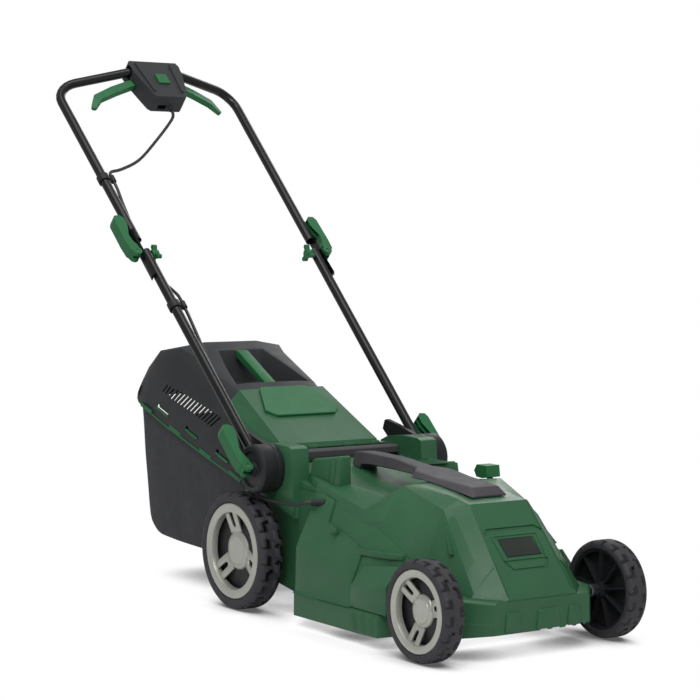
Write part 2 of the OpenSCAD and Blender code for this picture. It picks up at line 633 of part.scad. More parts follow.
// ---------- motor and blade ----------
flange_t = 4;
bearing_d = 35;
bearing_h = 11;
rotor_d = 0.6 * motor_d;
motor_top = slab_top + motor_h;
module on_spindle() { on_origin() translate([0, spindle_y, 0]) children(); }
module motor_frame() {
    color(steel) on_spindle() difference() {
        union() {
            translate([0, 0, slab_top]) cylinder(d = motor_d, h = motor_h);
            translate([0, 0, slab_top]) cylinder(r = motor_screw_r + 7, h = flange_t);
            translate([0, 0, slab_top - 8]) cylinder(d = bearing_d + 12, h = 9);
        }
        difference() {
            translate([0, 0, slab_top + flange_t]) cylinder(d = motor_d - 2 * wall, h = motor_h - flange_t - wall);
            translate([0, 0, motor_top - wall - bearing_h - 1]) cylinder(d = bearing_d + 10, h = 20);
        }
        translate([0, 0, slab_top - 9]) cylinder(d = bearing_d, h = bearing_h + 1);
        translate([0, 0, slab_top - 9]) cylinder(d = shaft_d + 6, h = 20);
        translate([0, 0, motor_top - wall - bearing_h - 2]) cylinder(d = bearing_d, h = bearing_h + 2);
        for (a = [45 : 90 : 315]) rotate(a) translate([motor_screw_r, 0, slab_top - 1]) cylinder(d = 5, h = 10);
        // air slots
        for (a = [0 : 45 : 315]) rotate(a) translate([motor_d / 2 - 8, -4, slab_top + 20]) cube([12, 8, 40]);
    }
}
module stator() {
    color("#a5642f") on_spindle() translate([0, 0, slab_top + 18]) difference() {
        cylinder(d = motor_d - 2 * wall, h = motor_h - 42);
        translate([0, 0, -1]) cylinder(d = rotor_d + 1.6, h = motor_h);
    }
}
module motor_bearings() {
    color(silver) on_spindle() for (z = [slab_top - 8, motor_top - wall - bearing_h])
        translate([0, 0, z]) difference() {
            cylinder(d = bearing_d, h = bearing_h);
            translate([0, 0, -1]) cylinder(d = shaft_d + 2 * run_gap, h = bearing_h + 2);
        }
}
blade_t = 4;
blade_top = blade_z + blade_t;
blade_bolt_d = 8;
module rotor() {
    color(steel) on_spindle() difference() {
        union() {
            translate([0, 0, blade_top]) cylinder(d = shaft_d, h = motor_top - wall - 1 - blade_top);
            translate([0, 0, slab_top + 16]) cylinder(d = rotor_d, h = motor_h - 38);
        }
        translate([0, 0, blade_top - 1]) cylinder(d = blade_bolt_d, h = 25);
    }
}
fan_z = 88;
module blade_fan() {
    color(black) on_spindle() difference() {
        union() {
            translate([0, 0, blade_top]) cylinder(d = shaft_d + 16, h = fan_z - blade_top + 12);
            translate([0, 0, fan_z]) cylinder(r = 58, h = 3);
            for (a = [0 : 45 : 315]) rotate(a) translate([10, -1.5, fan_z]) cube([46, 3, 12]);
        }
        translate([0, 0, blade_top - 1]) cylinder(d = shaft_d, h = 80);
    }
}
module blade() {
    color(steel) on_spindle() translate([0, 0, blade_z]) difference() {
        union() {
            intersection() {
                linear_extrude(blade_t) polygon([
                    [-blade_d / 2, -20], [-110, -26], [110, -26], [blade_d / 2, -26],
                    [blade_d / 2, 20], [110, 26], [-110, 26], [-blade_d / 2, 26]
                ]);
                cylinder(d = blade_d, h = 10);
            }
            // raised rear edges that lift the grass
            for (a = [0, 180]) rotate(a) translate([115, 12, 0]) rotate([20, 0, 0]) cube([50, 12, blade_t]);
        }
        translate([0, 0, -1]) cylinder(d = blade_bolt_d, h = 10);
    }
}
module blade_bolt() {
    color(silver) on_spindle() {
        translate([0, 0, blade_z - 3]) cylinder(d = 28, h = 3);
        translate([0, 0, blade_z - 9]) cylinder(d = 15, h = 6.5, $fn = 6);
        translate([0, 0, blade_z - 4]) cylinder(d = blade_bolt_d, h = 26);
    }
}

// ---------- lower handle ----------
function tube_x(u) = pivot_half + (mid_half - pivot_half) * u / lower_len;
tube_in = 12;            // start of the lower tube beyond the pivot
tube_past = 8;           // lower tube beyond the folding joint's bolt
joint_x = mid_half + tube_d / 2 + seat;
joint_t = 5;             // thickness of the joint's half shells
fold_pin_x = joint_x + joint_t + seat + foot_r;
nut_out = mid_half - tube_d / 2 - 1.5 * seat;
nut_len = 14;
module lower_tube_axis(d, past) {
    rod([tube_x(tube_in), tube_in, 0], [tube_x(lower_len + tube_past), lower_len + tube_past, 0], d, past);
}
module lower_handle() { on_origin() lower_frame() children(); }
module upper_handle() { on_origin() upper_frame() children(); }
module lower_tubes() {
    color(black) lower_handle() both_sides() difference() {
        lower_tube_axis(tube_d, 0);
        lower_tube_axis(tube_d - 2 * tube_wall, 1);
        x_rod(mid_half - 20, mid_half + 20, lower_len, 0, pin_d);
    }
}
module handle_knuckles() {
    color(black) lower_handle() both_sides() difference() {
        rotate([0, 90, 0]) translate([0, 0, knuckle_in]) rotate_extrude() polygon([
            [0, 0], [drum_d / 2, 0], [drum_d / 2, knuckle_out - knuckle_in - 4],
            [drum_d / 2 - 4, knuckle_out - knuckle_in], [33, knuckle_out - knuckle_in],
            [32, knuckle_out - knuckle_in - 4], [15, knuckle_out - knuckle_in - 4],
            [14, knuckle_out - knuckle_in], [0, knuckle_out - knuckle_in]
        ]);
        lower_tube_axis(tube_d, 0);
        x_rod(knuckle_in - 1, knuckle_out + 1, 0, 0, bolt_bore);
    }
}
module joint_bolts() {
    color(steel) upper_handle() both_sides() {
        x_rod(nut_out - nut_len + 2, fold_pin_x, 0, 0, pin_d);
        translate([fold_pin_x, 0, -cam_pin_len / 2]) cylinder(d = pin_d, h = cam_pin_len);
    }
}
// Cam lever: x outwards from its cross pin, y along the tube, z along the pin
lever_w = 24;
module cam_lever(bolt) {
    slot = bolt / 2 + 0.4;
    difference() {
        linear_extrude(lever_w, center = true) {
            circle(foot_r);
            polygon([
                [foot_r, 0], [14, 5], [16, 30], [16, 88], [12, 97], [0, 98], [-6.5, 91],
                [-7.5, 74], [-3, 58], [2, 42], [0, 28], [-6, 14], [-6, 0]
            ]);
        }
        cylinder(d = pin_bore, h = lever_w + 2, center = true);
        linear_extrude(2 * slot, center = true) polygon([
            [-20, slot], [slot, slot], [0.87 * slot, 0.5 * slot],
            [0.87 * slot + 10, 0.5 * slot - 17.4], [-20, -20]
        ]);
        for (z = [-10, 1.2]) translate([-12, 45, z]) cube([23, 46, 8.8]);
    }
}
module base_lever(s) { color(lever_green) on_origin() on_side(s) lower_pivot() translate([base_pin_x, 0, 0]) cam_lever(pivot_bolt_d); }
module fold_lever(s) { color(lever_green) upper_handle() on_side(s) translate([fold_pin_x, 0, 0]) cam_lever(pin_d); }
module wing_nut(s) {
    color(lever_green) upper_handle() on_side(s) difference() {
        union() {
            x_rod(nut_out - nut_len, nut_out, 0, 0, 17);
            translate([nut_out - nut_len + 1, 0, 0]) for (a = [30 : 120 : 270]) rotate([a, 0, 0])
                strap(0, 9, [5, 0], [15, 0], 4.5);
        }
        x_rod(nut_out - nut_len + 2, nut_out + 1, 0, 0, pin_bore);
    }
}
module base_lever_left() { base_lever(1); }
module base_lever_right() { base_lever(-1); }
module fold_lever_left() { fold_lever(1); }
module fold_lever_right() { fold_lever(-1); }
module wing_nut_left() { wing_nut(1); }
module wing_nut_right() { wing_nut(-1); }

// ---------- upper handle ----------
upper_in = 37;           // start of the upper tube beyond the folding joint
upper_x = mid_half + 6;
bend_r = 45;
crown_r = 60;
crown_half = 45;         // half length of the grip bar's level middle
grip_v = grip_rise;      // height of that middle above the joint's line
side_v = 5;
box_floor = grip_v - 28;
grip_corners = [
    [upper_x, upper_in, 0], [top_half, upper_len, side_v], [crown_half, upper_len, grip_v],
    [-crown_half, upper_len, grip_v], [-top_half, upper_len, side_v], [-upper_x, upper_in, 0]
];
grip_bends = [bend_r, crown_r, crown_r, bend_r];
grip_path = concat(
    [grip_corners[0]],
    [for (i = [1 : 4]) each bent(grip_corners[i - 1], grip_corners[i], grip_corners[i + 1],
        grip_bends[i - 1], i == 1 || i == 4 ? 7 : 3)],
    [grip_corners[5]]
);
// Rearmost point of the grip bar and the switch box, which sets the machine's middle
function bar_rear(i) =
    let (p = grip_path[i], t = along(grip_path, i), ty = t[1] * cos(upper_angle) - t[2] * sin(upper_angle))
    upper_at(p[1], p[2])[0] + tube_d / 2 * sqrt(1 - ty * ty);
rear_end = max(concat(
    [upper_at(box_top_u, box_floor)[0]], [for (i = [1 : len(grip_path) - 2]) bar_rear(i)]
));
centre_y = (rear_end - front_r) / 2;
function stretched(p, e) = [for (i = [0 : len(p) - 1])
    i == 0 ? p[0] + e * unit(p[0] - p[1])
    : i == len(p) - 1 ? p[i] + e * unit(p[i] - p[i - 1]) : p[i]];
module upper_tube() {
    color(black) upper_handle() difference() {
        union() {
            difference() {
                sweep(grip_path, tube_d, 24);
                sweep(stretched(grip_path, 1), tube_d - 2 * tube_wall, 24);
            }
            // half shells that lie on the lower tubes
            both_sides() intersection() {
                rod([mid_half, -62, 0], [mid_half, upper_in + 25, 0], tube_d + 2 * joint_t + 2 * seat);
                translate([joint_x, -70, -20]) cube([20, 150, 40]);
            }
        }
        both_sides() x_rod(joint_x - 1, joint_x + joint_t + 1, 0, 0, pin_bore);
    }
}
split_v = grip_v;        // joint between the switch box and its cover lies on the bar's axis
box_cover = grip_v + 13;
box_wall = 3;
box_end = upper_len - 93;
function box_outline(i) = [
    [34 - i * 0.6, box_end + i], [40 - i, box_end + 6 + i * 0.4], [46 - i, upper_len - 65],
    [57 - i, upper_len - 19], [60 - i, upper_len + 7], [56 - i, box_top_u - i],
    [i - 56, box_top_u - i], [i - 60, upper_len + 7], [i - 57, upper_len - 19],
    [i - 46, upper_len - 65], [i - 40, box_end + 6 + i * 0.4], [i * 0.6 - 34, box_end + i]
];
bail_at = [42, upper_len - 23, grip_v - 12];
bail_tilt = 17.3;
bail_t = 12;
bail_pin_d = 8;
module bail_place() { translate(bail_at) rotate([0, bail_tilt, 0]) children(); }
module inside_box(v0, v1) {
    intersection() {
        children();
        translate([0, 0, v0]) linear_extrude(v1 - v0) polygon(box_outline(1));
    }
}
module bar_channel() {
    x_rod(-crown_half + 10, crown_half - 10, upper_len, grip_v, tube_d);
    both_sides() x_rod(crown_half - 10.1, 75, upper_len, grip_v - 1.5, tube_d + 9);
}
button_u = upper_len - 39;
button_w = 26;
button_l = 28;
cord_exit = [9, box_end - 6, grip_v - 18];
module switch_box() {
    color(charcoal) upper_handle() {
        difference() {
            union() {
                difference() {
                    translate([0, 0, box_floor]) linear_extrude(split_v - box_floor) polygon(box_outline(0));
                    translate([0, 0, box_floor + box_wall]) linear_extrude(60) polygon(box_outline(box_wall));
                }
                inside_box(box_floor + 1, split_v) {
                    for (x = [-30, 27]) translate([x, upper_len - 19, box_floor]) cube([3, 50, 60]);
                    both_sides() bail_place() translate([0, 0, -25]) cylinder(d = bail_pin_d + 6, h = 25 - bail_t / 2 - seat);
                }
                translate([cord_exit[0], box_end + 2, cord_exit[2]]) rotate([90, 0, 0])
                    cylinder(d = 12, h = box_end + 2 - cord_exit[1]);
            }
            bar_channel();
            both_sides() {
                bail_place() translate([0, 0, -11]) cylinder(d = bail_pin_d + 2 * run_gap, h = 40);
                // way of the bail through the side wall
                bail_place() translate([6, -15, -bail_t / 2 - 1]) cube([40, 30, bail_t + 2]);
            }
            // inlet for the mains cord's socket
            translate([-22, box_end - 1, box_floor + 5]) cube([20, 10, 12]);
        }
        // micro switch under the button
        translate([-10, button_u - 6, box_floor + box_wall]) cube([20, 12, 23]);
    }
}
module switch_cover() {
    color(charcoal) upper_handle() difference() {
        union() {
            difference() {
                translate([0, 0, split_v]) linear_extrude(box_cover - split_v) polygon(box_outline(0));
                translate([0, 0, split_v - 1]) linear_extrude(box_cover - split_v + 1 - box_wall)
                    polygon(box_outline(box_wall));
            }
            // raised ribs beside the middle face
            both_sides() translate([0, 0, box_cover - 1]) linear_extrude(4)
                polygon([[30, box_end + 16], [35, box_end + 14], [46, box_top_u - 8], [36, box_top_u - 8]]);
            inside_box(split_v, box_cover - 1) both_sides() bail_place()
                translate([0, 0, bail_t / 2 + seat]) cylinder(d = bail_pin_d + 6, h = 25);
        }
        bar_channel();
        both_sides() bail_place() translate([0, 0, 0]) cylinder(d = bail_pin_d + 2 * run_gap, h = 13);
        translate([-button_w / 2 - seat, button_u - button_l / 2 - seat, box_cover - 10])
            cube([button_w + 2 * seat, button_l + 2 * seat, 20]);
    }
}
button_travel = 4;
module start_button() {
    color(lever_green) upper_handle() translate([0, button_u, 0]) {
        translate([-button_w / 2, -button_l / 2, box_cover - 8]) cube([button_w, button_l, 12]);
        translate([-button_w / 2 - 3, -button_l / 2 - 3, box_cover - box_wall - seat - 2.5])
            cube([button_w + 6, button_l + 6, 2.5]);
        translate([-4, -4, box_floor + box_wall + 23 + button_travel + seat])
            cube([8, 8, box_cover - 8 - (box_floor + box_wall + 23 + button_travel + seat)]);
    }
}
module bail(s) {
    color(lever_green) upper_handle() on_side(s) bail_place() {
        cylinder(d = bail_pin_d, h = 20, center = true);
        translate([0, 0, -bail_t / 2]) {
            cylinder(r = 10, h = bail_t);
            hull() {
                translate([3, 0, 0]) cylinder(r = 9, h = bail_t);
                translate([56, -10, 0]) cylinder(r = 10, h = bail_t);
            }
            hull() {
                translate([56, -10, 0]) cylinder(r = 10, h = bail_t);
                translate([96, -22, 0]) cylinder(r = 9, h = bail_t);
            }
            hull() {
                translate([96, -22, 0]) cylinder(r = 9, h = bail_t);
                translate([112, -44, 2]) cylinder(r = 6, h = bail_t - 4);
            }
        }
    }
}
module bail_left() { bail(1); }
module bail_right() { bail(-1); }

// ---------- cable between switch box and motor ----------
upper_route = [
    cord_exit - [0, seat, 0], cord_exit - [0, 4, 0], cord_exit - [0, 8, 0], cord_exit - [4, 20, 10],
    [-38, 332, 4], [-92, 286, -9], [-148, 252, -5], [-179, 237, 1], [-186.8, 226, 2.2],
    [-186.8, 221.5, 2.2], [-186.8, 213, 2.2], [-186.8, 204.5, 2.2], [-186.8, 196, 2.2], [-187.3, 180, 1.4], [-189, 148, -2], [-190, 110, -6], [-192, 58, -15], [-192, 28, -16], [-192, 0.6, -16]
];
lower_route = [
    [-192, lower_len, -16], [-192, lower_len - 16, -16], [-191, lower_len - 34, -14], [-182, 472, -8],
    [-178.4, 452, -3], [-175.6, 434, 1.2], [-175, 424, 2], [-175, 415, 2], [-175, 406, 2], [-175, 397, 2],
    [-175, 388, 2], [-175.3, 370, 1.2], [-176, 330, -1], [-177.6, 265, -4.5], [-178.6, 200, -8], [-182, 110, -17],
    [-186, 58, -29], [-186, 38, -36.2], [-186, 20, -45]
];
// The lower end of the lower cable, from where the rest lies on the still part of the machine
hang = lower_at(20, -45);
hang_turn = lower_at(20, -45) - lower_at(38, -36.2);
function hang_at(s) = let (q = hang + unit(hang_turn) * s) [-186, q[0], q[1]];
gland_way = unit(gland_b - gland_a);
deck_route = [
    hang_at(seat), hang_at(8), hang_at(16), [-185, pivot_y + 22, pivot_z - 45.3], [-182, pivot_y - 10, pivot_z - 54.5],
    [-tx - 28, 440 + shift, 205], [30 - sx - 7, 396 + shift / 2, 208], gland_a - 14 * gland_way,
    gland_a, gland_b, gland_b + 8 * gland_way, [-118, 303, 208], [-78, 280, 196],
    [0, spindle_y, 190] + (motor_d / 2 + 14) * unit([-0.9, 0.42, 0]),
    [0, spindle_y, 190] + (motor_d / 2 + seat) * unit([-0.9, 0.42, 0])
];
module cable_upper() { color(black) upper_handle() cord(upper_route, cable_d, 4); }
module cable_lower() { color(black) lower_handle() cord(lower_route, cable_d, 3); }
module cable_deck() { color(black) on_origin() cord(deck_route, cable_d, 4); }
clip_w = 16;
// Clip round the tube and the cable, both along Y at y
module clip(tube, cable) {
    rotate([-90, 0, 0]) translate([0, 0, -clip_w / 2]) linear_extrude(clip_w) difference() {
        union() {
            translate([tube[0], -tube[1]]) circle(d = tube_d + 6);
            translate([cable[0], -cable[1]]) circle(d = cable_d + 5);
            translate([tube[0], -tube[1] - 2.5]) square([cable[0] - tube[0], 5]);
        }
        translate([tube[0], -tube[1]]) circle(d = tube_d + 2 * seat);
        translate([cable[0], -cable[1]]) circle(d = cable_d + 2 * seat);
    }
}
clip_upper_u = 213;
clip_lower_u = 406;
module cable_clip_upper() {
    share = (clip_upper_u - upper_in) / (upper_len - upper_in);
    color(black) upper_handle() translate([0, clip_upper_u, 0])
        clip([-upper_x - (top_half - upper_x) * share, side_v * share], [-186.8, 2.2]);
}
module cable_clip_lower() {
    color(black) lower_handle() translate([0, clip_lower_u, 0])
        clip([-tube_x(clip_lower_u), 0], [-175, 2]);
}

// ---------- grass bag ----------
bag_y = tail_y + seat;
bag_rear_y = bag_y + bag_len;
bx = bag_w / 2;
function by(t) = bag_y + bag_len * t;
// Rows of the hard top, from its hem up to its crest
top_rows = [
    [bag_y, [[bx - 3, 212], [bx - 1, 216], [bx - 6, 240], [116.5, 284], [110, 300], [97, 319], [60, 320]]],
    [by(0.25), [[bx - 2, 242], [bx, 246], [bx - 4, 270], [110, 341], [96.5, 358], [87, 374.5], [60, 375.5]]],
    [by(0.311), [[bx - 2, 250], [bx, 254], [bx - 4, 280], [118, 350], [109, 371], [95, 388], [60, 391]]],
    [by(0.62), [[bx - 2, 290], [bx, 294], [bx - 3, 318], [134, 380], [124, 420], [106, 442], [60, 452]]],
    [by(0.68), [[bx - 2, 297], [bx, 301], [bx - 3, 325], [138, 385], [132, 425], [116, 452], [60, 462]]],
    [by(0.815), [[bx - 5, 315], [bx - 3, 320], [bx - 4, 345], [140, 395], [136, 428], [126, 444], [60, 450]]],
    [by(0.908), [[bx - 5, 328], [bx - 3, 333], [bx - 4, 352], [136, 385], [130, 408], [116, 418], [60, 424]]],
    [by(0.97), [[bx - 8, 340], [bx - 5, 344], [bx - 6, 356], [132, 374], [122, 386], [104, 392], [60, 395]]],
    [bag_rear_y, [[bx - 16, 350], [bx - 14, 352], [bx - 15, 358], [120, 364], [110, 369], [96, 372], [60, 373]]]
];
top_t = 2.4;
// Front and rear wall of the pit at the height z
function pit_front(z) = by(0.311) + (470 - z) * 0.04;
function pit_rear(z) = by(0.58) + (z - 385) * 0.11;
// Pit under the bag's carrying bar, grown by g
module pit(g) {
    hull() {
        translate([-88 - g, pit_front(470) - g, 470]) cube([176 + 2 * g, 1, 1]);
        translate([-56 - g, pit_rear(501) - 1 + g, 500]) cube([112 + 2 * g, 1, 1]);
        translate([-80 - g, pit_front(342) - g, 342 - g]) cube([160 + 2 * g, 1, 1]);
        translate([-46 - g, pit_rear(385) - 1 + g, 385 - g]) cube([92 + 2 * g, 1, 1]);
    }
}
module bag_top() {
    color(charcoal) on_origin() difference() {
        loft(rings(top_rows));
        difference() {
            loft(inset(top_rows, top_t, 60));
            pit(top_t);
        }
        // mouth
        translate([-106, bag_y - 1, 205]) cube([212, top_t + 2, 108]);
        pit(0);
    }
}
module bag_grip() {
    color(lever_green) on_origin() side_plate(-12, 12, [
        [pit_front(376) + seat, 376], [pit_rear(434) - seat, 434], [pit_rear(447) - seat, 447],
        [by(0.57), 446], [pit_front(390) + 6, 390], [pit_front(376) + seat, 386]
    ]);
}
fabric_rows = [
    [bag_y + top_t + seat, [[60, bag_z + 26], [bx - 22, bag_z + 27], [bx - 9, bag_z + 42], [bx - 6, 150], [bx - 5.7, 219]]],
    [by(0.18), [[60, bag_z + 5], [bx - 20, bag_z + 6], [bx - 7, bag_z + 22], [bx - 5.5, 150], [bx - 5, 238]]],
    [by(0.388), [[60, bag_z], [bx - 20, bag_z + 1], [bx - 7, bag_z + 18], [bx - 5, 150], [bx - 4.8, 262]]],
    [by(0.8), [[60, bag_z + 8], [bx - 20, bag_z + 9], [bx - 8, bag_z + 26], [bx - 6, 170], [bx - 6, 316]]],
    [by(0.88), [[60, bag_z + 26], [bx - 26, bag_z + 28], [bx - 14, bag_z + 50], [bx - 9, 180], [bx - 7.7, 328]]],
    [by(0.92), [[60, bag_z + 130], [bx - 28, bag_z + 132], [bx - 16, bag_z + 160], [bx - 10, 250], [bx - 8, 333]]],
    [by(0.95), [[60, bag_z + 245], [bx - 30, bag_z + 247], [bx - 18, bag_z + 255], [bx - 14, 330], [bx - 11, 338]]]
];
// Inner face of the fabric, open at the mouth and under the hard top
function hollow(rows, w) = [
    for (i = [0 : len(rows) - 1])
        let (r = rows[i], n = len(r[1]) - 1, y = r[0] + (i == 0 ? -1 : i == len(rows) - 1 ? -w : 0))
        ring(y, [for (k = [0 : n]) [r[1][k][0] - w, r[1][k][1] + (k == n ? 2 : w)]])
];
module bag_fabric() {
    color("#2c2d31") on_origin() difference() {
        loft(rings(fabric_rows));
        loft(hollow(fabric_rows, fabric_t));
    }
}
frame_y = bag_y + 12;
module bag_frame() {
    wire = [
        [bx - 12, frame_y, 214], [bx - 22, frame_y, bag_z + 36], [-bx + 22, frame_y, bag_z + 36],
        [-bx + 12, frame_y, 214]
    ];
    color(steel) on_origin() for (i = [0 : 2]) rod(wire[i], wire[i + 1], pin_d, i == 1 ? pin_d / 2 : 0);
}

// ---------- rear flap ----------
fw = flap_w / 2;
flap_end = flap_len + 4;
// Rows along the flap's slope, outline from the side walls' lower edge to the top face
flap_rows = [
    [-4, [[fw + 8, -10], [fw + 6, -6], [fw - 2, 2], [60, 3]]],
    [4, [[fw + 11, -14], [fw + 8, -6], [fw, 8.2], [60, 8.6]]],
    [60, [[fw + 13, -26], [fw + 9, -8], [fw - 4, 8.2], [60, 8.6]]],
    [flap_end, [[fw + 9, -24], [fw - 3, -8], [fw - 12, 8.2], [60, 8.6]]]
];
// Point 20 beyond the lower edge a of the wall from b
function past_edge(a, b) = a + (a - b) * 20 / norm(a - b);
module flap_place() { on_origin() translate([0, hinge_y, hinge_z]) rotate([flap_angle, 0, 0]) children(); }
module flap_panel() {
    color(green) flap_place() difference() {
        union() {
            difference() {
                loft(rings(flap_rows));
                loft([for (i = [0 : 3])
                    let (r = flap_rows[i], y = i == 0 ? -1.5 : i == 1 ? 6 : i == 3 ? flap_end + 5 : r[0])
                    ring(y, [for (k = [0 : 3]) (k == 0 ? past_edge(r[1][0], r[1][1]) : r[1][k] - [0, wall]) - [wall, 0]])]);
            }
            // hinge eyes
            for (x = [-112, -50, 30, 92]) x_rod(x, x + 20, 0, 0, pin_d + 6);
        }
        x_rod(-pillar_in, pillar_in, 0, 0, pin_bore);
    }
}
module flap_grip() {
    color(lever_green) flap_place() translate([0, 0, 8.8]) linear_extrude(4.5) polygon([
        [-65, 92], [65, 92], [83, 111], [54, flap_end - 4], [48, flap_end],
        [-48, flap_end], [-54, flap_end - 4], [-83, 111]
    ]);
}

deck_shell();
motor_hood();
badge_plate();
carry_handle();
rear_crossbar();
flap_rod();
pivot_brackets();
deck_fasteners();
axle_clamps();
cable_gland();
cable_deck();
motor_frame();
stator();
motor_bearings();
rotor();
blade_fan();
blade();
blade_bolt();
front_axle();
rear_axle();
link_rod();
height_lever();
height_knob();
front_left_tyre();
front_left_rim();
front_left_trim();
front_right_tyre();
front_right_rim();
front_right_trim();
rear_left_tyre();
rear_left_rim();
rear_left_trim();
rear_right_tyre();
rear_right_rim();
rear_right_trim();
lower_tubes();
handle_knuckles();
joint_bolts();
cable_lower();
cable_clip_lower();
base_lever_left();
base_lever_right();
fold_lever_left();
fold_lever_right();
wing_nut_left();
wing_nut_right();
upper_tube();
switch_box();
switch_cover();
start_button();
bail_left();
bail_right();
cable_upper();
cable_clip_upper();
bag_top();
bag_grip();
bag_fabric();
bag_frame();
flap_panel();
flap_grip();
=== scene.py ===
# %% [markdown]
# # A push lawn mower
# This notebook dresses an engineering model of an electric push mower with the shapes and
# finishes that the real one shows: moulded green covers, rubber tyres with silver wheel
# trims, lacquered steel tubes, a hard-topped mesh grass bag and a grained carrying handle.
# The engineering model arrives as a frame of bodies joined by hinges and slides. Everything
# made here rides on one of those bodies, so the mower still folds, rolls and opens.

# %% Load the frame
import json
import math

import bmesh
import bpy
from mathutils import Matrix, Vector


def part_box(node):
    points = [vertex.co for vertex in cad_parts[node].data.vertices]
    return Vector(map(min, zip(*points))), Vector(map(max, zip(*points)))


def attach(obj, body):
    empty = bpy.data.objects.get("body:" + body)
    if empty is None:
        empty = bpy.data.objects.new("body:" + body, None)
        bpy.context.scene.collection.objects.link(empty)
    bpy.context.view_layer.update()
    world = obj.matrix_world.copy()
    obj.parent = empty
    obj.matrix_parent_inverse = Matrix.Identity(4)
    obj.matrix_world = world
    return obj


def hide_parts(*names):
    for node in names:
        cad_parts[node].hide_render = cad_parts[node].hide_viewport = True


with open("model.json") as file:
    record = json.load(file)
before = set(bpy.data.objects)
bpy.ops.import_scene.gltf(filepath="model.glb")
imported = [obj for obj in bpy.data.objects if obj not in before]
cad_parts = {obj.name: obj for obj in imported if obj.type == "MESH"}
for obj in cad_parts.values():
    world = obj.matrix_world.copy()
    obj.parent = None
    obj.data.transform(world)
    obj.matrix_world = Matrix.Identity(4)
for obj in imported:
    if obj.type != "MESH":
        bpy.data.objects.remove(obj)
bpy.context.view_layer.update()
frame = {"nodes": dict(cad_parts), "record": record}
nodes = frame["nodes"]

# %% [markdown]
# Sizes are easier to read in millimetres, counted from the front wheels. Y runs from the
# front wheels towards the handle, X across and Z up from the ground. The front wheel's own
# box gives the place of that zero.

# %% Places on the machine
def middle(node):
    low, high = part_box(node)
    return (low + high) / 2


FRONT_Y = middle("front_left_tyre").y


def mm(x, y, z):
    """Point given in millimetres from the front wheels, as metres in the frame."""
    return Vector((x / 1000, y / 1000 + FRONT_Y, z / 1000))


def metres(x, y, z):
    """A size or a shift given in millimetres, in metres."""
    return Vector((x, y, z)) / 1000


print("front wheels at y", round(FRONT_Y, 4), "rear wheels at", round(middle("rear_left_tyre").y, 4))

# %% [markdown]
# ## The camera
# A long lens from low down, a little in front and to the machine's right. The camera is
# made first, because every other choice is judged through it.

# %% Camera
EYE = mm(-2260.1, -2710.0, 726.7)
LOOK = Vector((0.5753, 0.8153, -0.0655))
ROLL = math.radians(0.6)


def look_from(eye, forward, roll=0.0):
    """Placement of a camera or lamp at eye that looks along forward."""
    back = -forward.normalized()
    right = forward.cross(Vector((0, 0, 1))).normalized()
    up = right.cross(forward).normalized()
    turned_right = right * math.cos(roll) + up * math.sin(roll)
    turned_up = up * math.cos(roll) - right * math.sin(roll)
    view = Matrix((turned_right, turned_up, back)).transposed().to_4x4()
    return Matrix.Translation(eye) @ view


camera_data = bpy.data.cameras.new("camera")
camera_data.lens = 110.03
camera_data.sensor_width = 36
camera_data.clip_end = 50
camera = bpy.data.objects.new("camera", camera_data)
camera.matrix_world = look_from(EYE, LOOK, ROLL)
bpy.context.scene.collection.objects.link(camera)
bpy.context.scene.camera = camera
print("camera at", [round(c, 3) for c in camera.matrix_world.translation])

# %% [markdown]
# ## The studio
# A plain pale floor under a bright, even sky, with three large soft lamps. The camera sees
# the floor and the sky as white, and the floor darkens only close under the machine. The
# light that reaches the mower stays at a level where a colour renders about as written.

# %% Floor, sky and lamps
scene = bpy.context.scene
scene.view_settings.view_transform = "Standard"


def add_node(tree, kind, **values):
    node = tree.nodes.new(kind)
    for key, value in values.items():
        setattr(node, key, value)
    return node


def split_for_camera(tree, lit, seen, out):
    """Shows the seen shader to the camera and the lit one to every other ray."""
    path = add_node(tree, "ShaderNodeLightPath")
    mix = add_node(tree, "ShaderNodeMixShader")
    tree.links.new(path.outputs["Is Camera Ray"], mix.inputs["Fac"])
    tree.links.new(lit.outputs[0], mix.inputs[1])
    tree.links.new(seen.outputs[0], mix.inputs[2])
    tree.links.new(mix.outputs[0], out.inputs["Surface"])


def white_light(tree, strength):
    light = add_node(tree, "ShaderNodeBackground")
    light.inputs["Color"].default_value = (1, 1, 1, 1)
    light.inputs["Strength"].default_value = strength
    return light


def make_sky(light_level):
    world = bpy.data.worlds.new("studio sky")
    scene.world = world
    world.use_nodes = True
    tree = world.node_tree
    tree.nodes.clear()
    split_for_camera(tree, white_light(tree, light_level), white_light(tree, 1.0),
                     add_node(tree, "ShaderNodeOutputWorld"))


def make_floor():
    """Pale floor that the camera sees as white, with a dark contact shade under the machine."""
    mesh = bpy.data.meshes.new("floor")
    bm = bmesh.new()
    bmesh.ops.create_grid(bm, x_segments=2, y_segments=2, size=14)
    bm.to_mesh(mesh)
    bm.free()
    floor = bpy.data.objects.new("floor", mesh)
    scene.collection.objects.link(floor)
    material = bpy.data.materials.new("pale floor")
    material.use_nodes = True
    tree = material.node_tree
    tree.nodes.clear()
    matt = add_node(tree, "ShaderNodeBsdfDiffuse")
    matt.inputs["Color"].default_value = (0.80, 0.80, 0.80, 1)
    cover = add_node(tree, "ShaderNodeAmbientOcclusion", samples=16)
    cover.inputs["Distance"].default_value = 0.12
    level = add_node(tree, "ShaderNodeMapRange")
    level.inputs["From Min"].default_value = 0.30
    level.inputs["From Max"].default_value = 0.72
    level.inputs["To Min"].default_value = 0.10
    level.inputs["To Max"].default_value = 1.0
    seen = add_node(tree, "ShaderNodeEmission")
    tree.links.new(cover.outputs["AO"], level.inputs["Value"])
    tree.links.new(level.outputs["Result"], seen.inputs["Strength"])
    split_for_camera(tree, matt, seen, add_node(tree, "ShaderNodeOutputMaterial"))
    mesh.materials.append(material)


